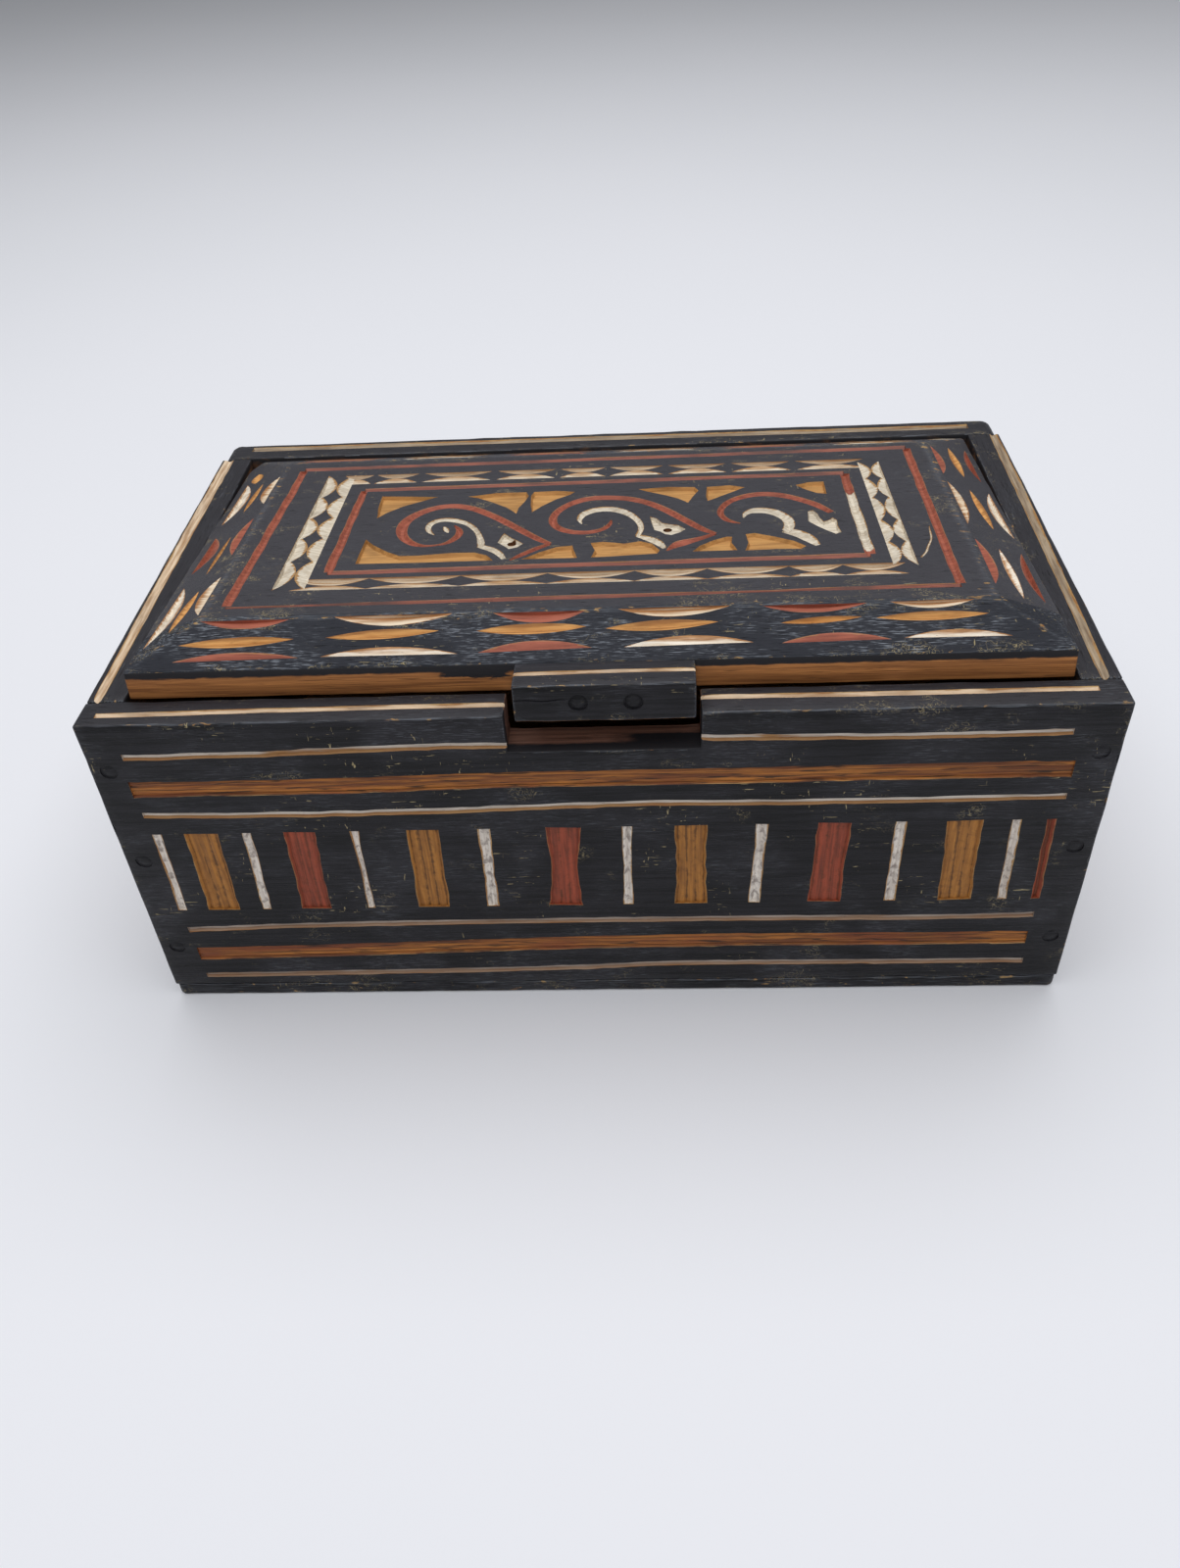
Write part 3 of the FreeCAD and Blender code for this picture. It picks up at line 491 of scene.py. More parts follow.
UPRIGHT = (1.5, 0.5, 0.07)
BLOTCHED = (0.8, 0.5, 0.6)
LONG_STAINS = (0.03, 0.2, 0.2)
FINISHES = {
    Paint.WALL_BLACK: BlackPaint(shine=0.2, dust=0.36, painted_top_sheen=0.5),
    Paint.LID_BLACK: BlackPaint(relief=0.16, roughness=0.46, shine=0.24, dust=0.45, painted_glint=0.12, fluff=0.8,
                                front=-39.6, edge_wear_and_highlight=0.2, painted_top_sheen=0.95),
    Paint.BARE: BareWood(),
    # Black over the top band of the inner faces, which darkens the gap beside the lid.
    Paint.INSIDE: BareWood(runs=(Smear("Z", 74.0, 78.0, 9.0),)),
    # Black paint strip at the ledge's front, and a black patch on the ledge under the catch.
    Paint.LEDGE: BareWood(tone(140, 103, 88), tone(90, 63, 53), (Smear("Y", -58.0, -58.8, 1.4),),
                          (Smear("X", 2.0, 9.0, 9.0), Smear("Y", -55.5, -56.1, 1.2))),
    Paint.LID_EDGE: BareWood(tone(196, 132, 76), tone(132, 84, 48), (Smear("Z", 77.0, 77.5, 0.9),),
                             (Smear("X", -29.1, -27.9, 6.0), Smear("X", -14.9, -16.1, 6.0),
                              Smear("Z", 75.7, 76.1, 3.4))),
    Paint.WHITE: PaintFill(tone(248, 240, 226), tone(226, 210, 186), 0.14, 0.35, painted_facet_shade=0.95,
                           rim_and_shade_wood=tone(190, 138, 88)),
    Paint.CREAM: PaintFill(tone(238, 220, 194), tone(208, 180, 146), 0.16, 0.45, painted_facet_shade=1.0,
                           rim_and_shade_wood=tone(172, 118, 70)),
    Paint.STRIP: PaintFill(tone(228, 214, 192), tone(190, 172, 146), 0.18, 0.5, painted_facet_shade=0.8,
                           rim_and_shade_wood=tone(182, 142, 96)),
    Paint.SCROLL: PaintFill(tone(228, 219, 202), tone(192, 178, 156)),
    Paint.LINE: PaintFill(tone(222, 214, 204), tone(178, 166, 152), 0.12, 0.6, shelf=0.95,
                          rim_and_shade_wood=tone(166, 124, 74), mottle=LONG_STAINS),
    # A darker copy of the white line for the lower lines: painted shade towards the wall's foot.
    Paint.LOW_LINE: PaintFill(tone(186, 172, 160), tone(142, 126, 114), 0.12, 0.6, shelf=0.6,
                              rim_and_shade_wood=tone(150, 112, 74), mottle=LONG_STAINS),
    Paint.RIM_LINE: PaintFill(tone(230, 208, 180), tone(172, 138, 104), 0.22, 0.6),
    Paint.DULL_LINE: PaintFill(tone(176, 158, 134), tone(124, 106, 88), 0.30, 0.8),
    Paint.WHITE_BAR: PaintFill(tone(238, 231, 222), tone(200, 190, 179), 0.28, 0.6, stain=0.8, run=UPRIGHT,
                               stain_tone=tone(126, 112, 106), mottle=BLOTCHED),
    Paint.OCHRE: PaintFill(tone(226, 170, 102), tone(182, 124, 64), 0.12, 0.3, painted_facet_shade=0.85,
                           rim_and_shade_wood=tone(150, 100, 54)),
    Paint.OCHRE_BAR: PaintFill(tone(178, 120, 54), tone(130, 85, 42), 0.22, 0.5, run=UPRIGHT, valley_shade_amount=0.75,
                               mottle=BLOTCHED),
    Paint.GROUND: PaintFill(tone(204, 154, 92), tone(170, 122, 70), 0.10, 0.3, stain=0.3),
    Paint.RED: PaintFill(tone(174, 98, 76), tone(132, 70, 56), 0.12, 0.5, rim_and_shade_wood=tone(184, 126, 100)),
    Paint.FRAME: PaintFill(tone(160, 98, 82), tone(116, 74, 66), 0.12, 0.5, stain=0.7,
                           rim_and_shade_wood=tone(176, 126, 102), stain_tone=tone(86, 70, 68),
                           mottle=(0.06, 0.25, 0.25)),
    Paint.RED_BAR: PaintFill(tone(162, 76, 51), tone(110, 54, 38), 0.22, 0.5, run=UPRIGHT, valley_shade_amount=0.6,
                             rim_and_shade_wood=tone(170, 108, 78), mottle=BLOTCHED),
    Paint.BROWN: BandFill(),
    Paint.PEG: BareWood(tone(124, 84, 52), tone(76, 48, 30)),
}


# Meshes


def evaluated(obj: bpy.types.Object) -> bpy.types.Mesh:
    """Plain mesh of an object in the scene, with its modifiers worked out."""
    graph = bpy.context.evaluated_depsgraph_get()
    graph.update()
    return bpy.data.meshes.new_from_object(obj.evaluated_get(graph))


def corner_points(mesh: bpy.types.Mesh) -> np.ndarray:
    """Places of a mesh's corners, one row for each."""
    points = np.empty(len(mesh.vertices) * 3)
    mesh.vertices.foreach_get("co", points)
    return points.reshape(-1, 3)


def store(mesh: bpy.types.Mesh, name: str, domain: str, values: np.ndarray) -> None:
    """Keeps values on a mesh for the paints or the node trees to read.

    Args:
        mesh: Mesh to add to.
        name: Name of the attribute.
        domain: What each value belongs to.
        values: One number, or one row of three, for each.
    """
    kind, key = ("FLOAT_VECTOR", "vector") if values.ndim == 2 else ("FLOAT", "value")
    mesh.attributes.new(name, kind, domain).data.foreach_set(key, values.ravel())


def finished(mesh: bpy.types.Mesh, name: str, body: str, slot: str, nodes: Sequence[str],
             crease: float) -> bpy.types.Object:
    """Puts a piece in the place of CAD nodes.

    Args:
        mesh: Shape in millimetres, with the lid shut.
        name: Name of the piece.
        body: Body that it rides on.
        slot: Material slot of the CAD nodes; not used.
        nodes: The CAD nodes.
        crease: Angle in degrees above which an edge stays sharp.

    Returns:
        The piece.
    """
    turn = Matrix.Identity(4)
    if body == "lid":
        turn = Matrix.Translation(PIVOT) @ Matrix.Rotation(-AJAR, 4, "X") @ Matrix.Translation(-PIVOT)
    mesh.transform(Matrix.Scale(MM, 4) @ turn)
    mesh.polygons.foreach_set("use_smooth", [True] * len(mesh.polygons))
    mesh.set_sharp_from_angle(angle=math.radians(crease))
    piece = bpy.data.objects.new(name, mesh)
    bpy.context.collection.objects.link(piece)
    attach(piece, body)
    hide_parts(*nodes)
    LOG.info("%s: %d faces in the place of %d solids", name, len(mesh.polygons), len(nodes))
    return piece


class GeometryKit(NodeKit):
    """A geometry-node tree that sets one shape at each point and paints it."""

    def __init__(self, name: str, inputs: dict[str, str]) -> None:
        """Starts the tree.

        Args:
            name: Name of the tree.
            inputs: Socket type of each named input.
        """
        super().__init__(bpy.data.node_groups.new(name, "GeometryNodeTree"))
        face = self.tree.interface
        face.new_socket("Geometry", in_out="INPUT", socket_type="NodeSocketGeometry")
        self.keys = {key: face.new_socket(key, in_out="INPUT", socket_type=kind).identifier
                     for key, kind in inputs.items()}
        face.new_socket("Geometry", in_out="OUTPUT", socket_type="NodeSocketGeometry")
        start = self.tree.nodes.new("NodeGroupInput")
        self.inputs = {key: Wire(self, start.outputs[key]) for key in ("Geometry", *inputs)}

    def attribute(self, name: str) -> Wire:
        """A vector that is stored on the points."""
        return self.node("GeometryNodeInputNamedAttribute", {"data_type": "FLOAT_VECTOR"}, {"Name": name})

    def vector(self, operation: str, sockets: dict, output: str | int = 0) -> Wire:
        """Result of a vector operation."""
        return self.node("ShaderNodeVectorMath", {"operation": operation}, sockets, output)

    def close(self, shape: Wire, turn: Wire, size: Wire) -> None:
        """Ends the tree with real, painted geometry.

        Args:
            shape: What is set at each point.
            turn: How it is turned.
            size: How it is stretched.
        """
        placed = self.node("GeometryNodeInstanceOnPoints", {}, {
            "Points": self.inputs["Geometry"], "Instance": shape, "Rotation": turn, "Scale": size})
        real = self.node("GeometryNodeRealizeInstances", {}, {"Geometry": placed})
        painted = self.node("GeometryNodeSetMaterial", {}, {
            "Geometry": real, "Material": self.inputs["Paint"]})
        self.feed(self.tree.nodes.new("NodeGroupOutput"), "Geometry", painted)

    def run(self, name: str, places: Sequence[Triple], vectors: dict[str, list[Triple]],
            values: dict) -> bpy.types.Mesh:
        """Runs the tree over points.

        Args:
            name: Name of the mesh.
            places: The points.
            vectors: Vectors stored on the points, by attribute.
            values: Values of the tree's inputs, by name.

        Returns:
            The plain mesh.
        """
        mesh = bpy.data.meshes.new(name)
        mesh.from_pydata(places, [], [])
        for key, rows in vectors.items():
            store(mesh, key, "POINT", np.array(rows))
        holder = bpy.data.objects.new(name, mesh)
        bpy.context.collection.objects.link(holder)
        modifier = holder.modifiers.new(name, "NODES")
        modifier.node_group = self.tree
        for key, value in values.items():
            modifier[self.keys[key]] = value
        made = evaluated(holder)
        bpy.data.objects.remove(holder)
        return made


# Cutting


@dataclass(frozen=True)
class Plane:
    """A face to carve: where its own across and up directions start and point."""

    origin: Triple
    across: Triple
    up: Triple

    def matrix(self) -> Matrix:
        """The turn and shift from (across, up, out) to board coordinates."""
        across = Vector(self.across).normalized()
        up = Vector(self.up).normalized()
        turn = Matrix((across, up, across.cross(up))).transposed()
        return Matrix.Translation(Vector(self.origin)) @ turn.to_4x4()


class Cuts:
    """The cutting solids of one board, gathered as one mesh with a paint for each face."""

    LOWEST: ClassVar[float] = 0.3
    STAGGER: ClassVar[float] = 0.0037

    def __init__(self) -> None:
        """Starts with nothing to cut."""
        self.points: list[Vector] = []
        self.faces: list[list[int]] = []
        self.paints: list[Paint] = []
        self.count = 0

    def lift(self) -> float:
        """Height that the next solid reaches above the face, a little more for each one."""
        self.count += 1
        return self.LOWEST + self.STAGGER * self.count

    def add(self, plane: Plane, points: Iterable[Sequence[float]], faces: Iterable[Sequence[int]],
            paint: "Paint | Sequence[Paint]") -> None:
        """Adds one closed solid.

        Args:
            plane: Face that the solid's points are on, as (across, up, out).
            points: Corners of the solid.
            faces: Corner numbers of each face.
            paint: Paint that the cut is left with, or one for each face.
        """
        turn = plane.matrix()
        placed = [turn @ Vector(point) for point in points]
        rings = [list(ring) for ring in faces]
        volume = sum(
            placed[ring[0]].dot(placed[ring[i]].cross(placed[ring[i + 1]]))
            for ring in rings for i in range(1, len(ring) - 1))
        if volume < 0.0:
            rings = [ring[::-1] for ring in rings]
        start = len(self.points)
        self.points.extend(placed)
        self.faces.extend([[start + corner for corner in ring] for ring in rings])
        self.paints.extend([paint] * len(rings) if isinstance(paint, Paint) else paint)

    def add_mesh(self, plane: Plane, mesh: bpy.types.Mesh, paint: Paint) -> None:
        """Adds the solids of a mesh whose corners are (across, up, out) on a face."""
        self.add(plane, [v.co for v in mesh.vertices], [p.vertices for p in mesh.polygons], paint)

    def mesh(self, materials: dict[Paint, bpy.types.Material]) -> bpy.types.Mesh:
        """Makes the cutter mesh.

        Args:
            materials: Material of each paint.

        Returns:
            The mesh, in millimetres.
        """
        mesh = bpy.data.meshes.new("cutter")
        mesh.from_pydata([tuple(point) for point in self.points], [], self.faces)
        used = list(dict.fromkeys(self.paints))
        for paint in used:
            mesh.materials.append(materials[paint])
        mesh.polygons.foreach_set("material_index", [used.index(paint) for paint in self.paints])
        return mesh


def smoothed(points: Sequence[Sequence[float]], steps: int = 4) -> list[tuple[float, ...]]:
    """Runs a smooth curve through points, carrying widths along with places.

    Args:
        points: Points of any size.
        steps: New points for each span.

    Returns:
        The points of the curve.
    """
    source = np.array(points, dtype=float)
    last = len(source) - 1
    curve = []
    for span in range(last):
        before, here, there, after = source[np.clip(np.arange(span - 1, span + 3), 0, last)]
        bend = 2 * before - 5 * here + 4 * there - after
        twist = 3 * here - 3 * there + after - before
        for step in range(steps):
            t = step / steps
            curve.append(tuple(0.5 * (2 * here + (there - before) * t + bend * t * t + twist * t ** 3)))
    return [*curve, tuple(source[-1])]


@dataclass(frozen=True)
class Groove:
    """A cut that follows a path of (across, up, width) points."""

    path: Sequence[Triple]
    paint: "Paint | Sequence[Paint]"
    depth: float = 0.9
    floor: float = 0.0
    flutes: int = 0
    wobble: float = 0.12

    CREST: ClassVar[float] = 0.62
    TIGHTEST: ClassVar[float] = 0.45
    SHAKE: ClassVar[tuple[float, float]] = (0.21, 3.7)
    SWELL: ClassVar[tuple[float, float]] = (0.33, 9.1)

    def profile(self, width: float, depth: float, lift: float) -> list[tuple[float, float]]:
        """Cross-section of the cut, its walls carried on above the face.

        Args:
            width: Width at the face.
            depth: Depth of the floor.
            lift: Height that the walls reach above the face.

        Returns:
            (sideways, out) points from one side to the other.
        """
        half = width / 2
        flat = half * self.floor
        reach = half + (half - flat) / depth * lift
        steps = max(2 * self.flutes, 1)
        across = [-flat + 2 * flat * i / steps for i in range(steps + 1)] if flat else [0.0]
        crest = self.CREST if self.flutes else 1.0
        bottom = [(side, -depth * (crest if i % 2 else 1.0)) for i, side in enumerate(across)]
        return [(-reach, lift), *bottom, (reach, lift)]

    def waver(self, across: float, up: float, field: tuple[float, float]) -> float:
        """How far the hand strays at a place, by the rate of a noise field and its layer."""
        rate, layer = field
        return noise.noise(Vector((across * rate, up * rate, layer))) * self.wobble

    def cut(self, cuts: Cuts, plane: Plane) -> None:
        """Adds the groove to a board's cuts.

        Args:
            cuts: Cuts of the board.
            plane: Face that the path is on.
        """
        path = np.array(self.path, dtype=float)
        widest = path[:, 2].max()
        ahead = np.diff(path[:, :2], axis=0)
        ahead = np.concatenate((ahead, ahead[-1:]))
        ahead /= np.linalg.norm(ahead, axis=1)[:, None]
        behind = np.concatenate((ahead[:1], ahead[:-1]))
        lift = cuts.lift()
        rings = []
        for (u, v, width), before, after in zip(path, behind, ahead):
            middle = before + after
            middle /= np.linalg.norm(middle)
            mitre = 1.0 / max(float(middle @ after), self.TIGHTEST)
            side = np.array((-middle[1], middle[0])) * mitre
            swell = 1.0 + self.waver(u, v, self.SWELL)
            depth = self.depth * math.sqrt(width / widest)
            centre = np.array((u, v)) + side * self.waver(u, v, self.SHAKE)
            rings.append([(*(centre + side * s * swell), h) for s, h in self.profile(width, depth, lift)])
        size = len(rings[0])
        spans = len(rings) - 1
        faces = []
        paints = []
        for span in range(spans):
            here = span * size
            there = here + size
            for i in range(size):
                j = (i + 1) % size
                faces.append((here + i, here + j, there + j, there + i))
                paints.append(self.paint if isinstance(self.paint, Paint) else self.paint[span])
        faces += [range(size - 1, -1, -1), range(spans * size, (spans + 1) * size)]
        paints += [paints[0], paints[-1]]
        cuts.add(plane, [point for ring in rings for point in ring], faces, paints)


@dataclass(frozen=True)
class Recess:
    """A flat-floored cut with sloping walls inside an outline."""

    outline: Outline
    paint: Paint
    depth: float = 0.8
    slope: float = 0.45

    def cut(self, cuts: Cuts, plane: Plane) -> None:
        """Adds the recess to a board's cuts.

        Args:
            cuts: Cuts of the board.
            plane: Face that the outline is on.
        """
        spots = np.array(self.outline, dtype=float)
        after = np.roll(spots, -1, axis=0) - spots
        before = spots - np.roll(spots, 1, axis=0)
        after /= np.linalg.norm(after, axis=1)[:, None]
        before /= np.linalg.norm(before, axis=1)[:, None]
        following = np.roll(spots, -1, axis=0)
        turn = np.sign(np.sum(spots[:, 0] * following[:, 1] - spots[:, 1] * following[:, 0]))
        inward = np.stack((-(before + after)[:, 1], (before + after)[:, 0]), axis=1) * turn
        inward /= np.maximum(np.linalg.norm(inward, axis=1), 1e-6)[:, None]
        lift = cuts.lift()
        grow = lift * self.slope / self.depth
        top = [(u, v, lift) for u, v in spots - inward * grow]
        low = [(u, v, -self.depth) for u, v in spots + inward * self.slope]
        count = len(top)
        walls = [(i, (i + 1) % count, count + (i + 1) % count, count + i) for i in range(count)]
        caps = [range(count - 1, -1, -1), range(count, 2 * count)]
        cuts.add(plane, top + low, [*walls, *caps], self.paint)


@dataclass(frozen=True)
class Bore:
    """A shallow round sinking, such as the ring around a peg's head."""

    across: float
    up: float
    radius: float
    depth: float
    paint: Paint

    SIDES: ClassVar[int] = 20
    SLOPE: ClassVar[float] = 0.02

    def cut(self, cuts: Cuts, plane: Plane) -> None:
        """Adds the sinking to a board's cuts.

        Args:
            cuts: Cuts of the board.
            plane: Face that it is on.
        """
        turns = [i * math.tau / self.SIDES for i in range(self.SIDES)]
        circle = [(self.across + self.radius * math.cos(turn), self.up + self.radius * math.sin(turn))
                  for turn in turns]
        Recess(circle, self.paint, self.depth, self.SLOPE).cut(cuts, plane)


class ChipShape(Enum):
    """Shape of a single knife chip: one steep wall, or two equal walls."""

    BOAT = "boat"
    LENS = "lens"


@dataclass(frozen=True)
class Chip:
    """One knife chip: a leaf that is pointed at both ends, at a place on a face."""

    shape: ChipShape
    across: float
    up: float
    turn: float
    length: float
    width: float
    depth: float = 0.95


class ChipTree:
    """Geometry-node tree that sets a chip at each point, turned and stretched by the point's values."""

    STATIONS: ClassVar[int] = 14
    LIFT: ClassVar[float] = 0.34
    STEEP: ClassVar[float] = 0.06
    BLUNT: ClassVar[float] = 0.02

    def __init__(self, materials: dict[Paint, bpy.types.Material]) -> None:
        """Builds the tree and the two chip shapes, for paints of these materials."""
        self.materials = materials
        self.shapes = {shape: self.solid(shape) for shape in ChipShape}
        self.kit = GeometryKit("chips", {"Chip": "NodeSocketObject", "Paint": "NodeSocketMaterial"})
        chip = self.kit.node("GeometryNodeObjectInfo", {}, {"Object": self.kit.inputs["Chip"]}, "Geometry")
        turn = self.kit.node("FunctionNodeEulerToRotation", {}, {"Euler": self.kit.attribute("turn")})
        self.kit.close(chip, turn, self.kit.attribute("stretch"))

    def solid(self, shape: ChipShape) -> bpy.types.Object:
        """Cutting solid of a chip that is 1 long, 1 wide and 1 deep.

        Args:
            shape: Which chip.

        Returns:
            The solid, with its tips on the X axis.
        """
        points = []
        lift = self.LIFT
        for station in range(self.STATIONS + 1):
            x = station / self.STATIONS - 0.5
            swell = (1.0 + self.BLUNT) * (1.0 - (2.0 * x) ** 2) - self.BLUNT
            wide = swell + lift
            if shape is ChipShape.BOAT:
                points += [(x, -self.STEEP * lift, lift), (x, self.STEEP * swell, -swell), (x, wide, lift)]
            else:
                points += [(x, -wide / 2, lift), (x, 0.0, -swell), (x, wide / 2, lift)]
        last = 3 * self.STATIONS
        faces = [(0, 1, 2), (last, last + 2, last + 1)]
        for station in range(self.STATIONS):
            a = 3 * station
            faces += [(a + i, a + 3 + i, a + 3 + (i + 1) % 3, a + (i + 1) % 3) for i in range(3)]
        mesh = bpy.data.meshes.new(shape.value)
        mesh.from_pydata(points, [], faces)
        return bpy.data.objects.new(shape.value, mesh)

    def cut(self, cuts: Cuts, plane: Plane, chips: Sequence[Chip], paint: Paint) -> None:
        """Adds chips of one paint to a board's cuts.

        Args:
            cuts: Cuts of the board.
            plane: Face that the chips are on.
            chips: The chips.
            paint: Paint in the chips.
        """
        for shape, solid in self.shapes.items():
            picked = [chip for chip in chips if chip.shape is shape]
            if picked:
                vectors = {"turn": [(0.0, 0.0, math.radians(chip.turn)) for chip in picked],
                           "stretch": [(chip.length, chip.width, chip.depth) for chip in picked]}
                values = {"Chip": solid, "Paint": self.materials[paint]}
                places = [(chip.across, chip.up, 0.0) for chip in picked]
                cuts.add_mesh(plane, self.kit.run("chip_places", places, vectors, values), paint)


# Boards

TOP = Plane((0.0, 0.0, 79.0), (1.0, 0.0, 0.0), (0.0, 1.0, 0.0))
FACING = 0.7
SQUARE = 1.0
TOUCH = 0.01


@dataclass
class Workshop:
    """What every board is made with."""

    materials: dict[Paint, bpy.types.Material]
    chips: ChipTree


def grid_lines(start: float, end: float, pitch: float, margin: float,
               stops: Sequence[float]) -> list[float]:
    """Places to divide a board, with a narrow margin at both ends.

    Args:
        start: First end.
        end: Other end.
        pitch: Usual step.
        margin: Width of the end strips.
        stops: Places that must be included.

    Returns:
        Rising places from start to end.
    """
    nearest = pitch * 0.4
    inner = np.linspace(start + margin, end - margin, max(2, round((end - start - 2 * margin) / pitch) + 1))
    kept = [place for place in inner if all(abs(place - stop) > nearest for stop in stops)]
    return sorted([start, end, *kept, *stops])


def filled_cells(lines: Sequence[Sequence[float]], solid: Callable[[Triple], bool]) -> bmesh.types.BMesh:
    """Closed mesh around the filled cells of a grid.

    Args:
        lines: Dividing places along X, Y and Z.
        solid: Tells whether the cell around a point is filled.

    Returns:
        The mesh.
    """
    counts = [len(places) - 1 for places in lines]

    def is_filled(cell: Sequence[int]) -> bool:
        """Whether a cell is in the grid and filled."""
        if any(not 0 <= cell[k] < counts[k] for k in range(3)):
            return False
        return solid(tuple((lines[k][cell[k]] + lines[k][cell[k] + 1]) / 2 for k in range(3)))

    bm = bmesh.new()
    corners = {}
    for cell in np.ndindex(*counts):
        if not is_filled(cell):
            continue
        for axis in range(3):
            for step in (-1, 1):
                beside = list(cell)
                beside[axis] += step
                if is_filled(beside):
                    continue
                ring = []
                for a, b in ((0, 0), (1, 0), (1, 1), (0, 1)):
                    key = list(cell)
                    key[axis] += max(step, 0)
                    key[(axis + 1) % 3] += a
                    key[(axis + 2) % 3] += b
                    place = tuple(key)
                    if place not in corners:
                        corners[place] = bm.verts.new([lines[k][place[k]] for k in range(3)])
                    ring.append(corners[place])
                bm.faces.new(ring if step > 0 else ring[::-1])
    return bm


def soften(bm: bmesh.types.BMesh, reach: float, segments: int, least: float = 0.2,
           pick: Callable[[bmesh.types.BMEdge], bool] = lambda edge: True) -> None:
    """Rounds the outward edges of a mesh.

    Args:
        bm: Mesh to change.
        reach: How far the rounding reaches from the edge.
        segments: Steps of the rounding.
        least: Angle between the faces, in radians, above which an edge counts as one.
        pick: Which of the outward edges to round.
    """
    bm.normal_update()
    edges = [edge for edge in bm.edges
             if edge.is_manifold and edge.calc_face_angle_signed() > least and pick(edge)]
    bmesh.ops.bevel(bm, geom=edges, offset=reach, segments=segments, profile=0.5, affect="EDGES",
                    clamp_overlap=True)


def facet_falls(mesh: bpy.types.Mesh) -> np.ndarray:
    """How far down its smooth facet each face corner is, across the facet's long way.

    Args:
        mesh: Carved board.

    Returns:
        One number for each face corner, 0 at the facet's upper side and 1 at its lower side.
    """
    # Direction across which the painted shade on each facet falls.
    downward = np.array((0.3, -0.7, -0.65))
    alike = 0.93
    falls = np.full(len(mesh.loops), 0.5)
    bm = bmesh.new()
    bm.from_mesh(mesh)
    bm.normal_update()
    seen = set()
    for first in bm.faces:
        if first in seen:
            continue
        seen.add(first)
        facet = [first]
        for face in facet:
            for edge in face.edges:
                for other in edge.link_faces:
                    same = other.material_index == face.material_index
                    if same and other.normal.dot(face.normal) > alike and other not in seen:
                        seen.add(other)
                        facet.append(other)
        loops = [loop for face in facet for loop in face.loops]
        points = np.array([loop.vert.co for loop in loops])
        points -= points.mean(axis=0)
        along = np.linalg.svd(points, full_matrices=False)[2][0]
        across = np.cross(np.mean([face.normal for face in facet], axis=0), along)
        places = points @ across * math.copysign(1.0, across @ downward)
        spread = np.ptp(places)
        if spread > 1e-6:
            falls[[loop.index for loop in loops]] = (places - places.min()) / spread
    bm.free()
    return falls


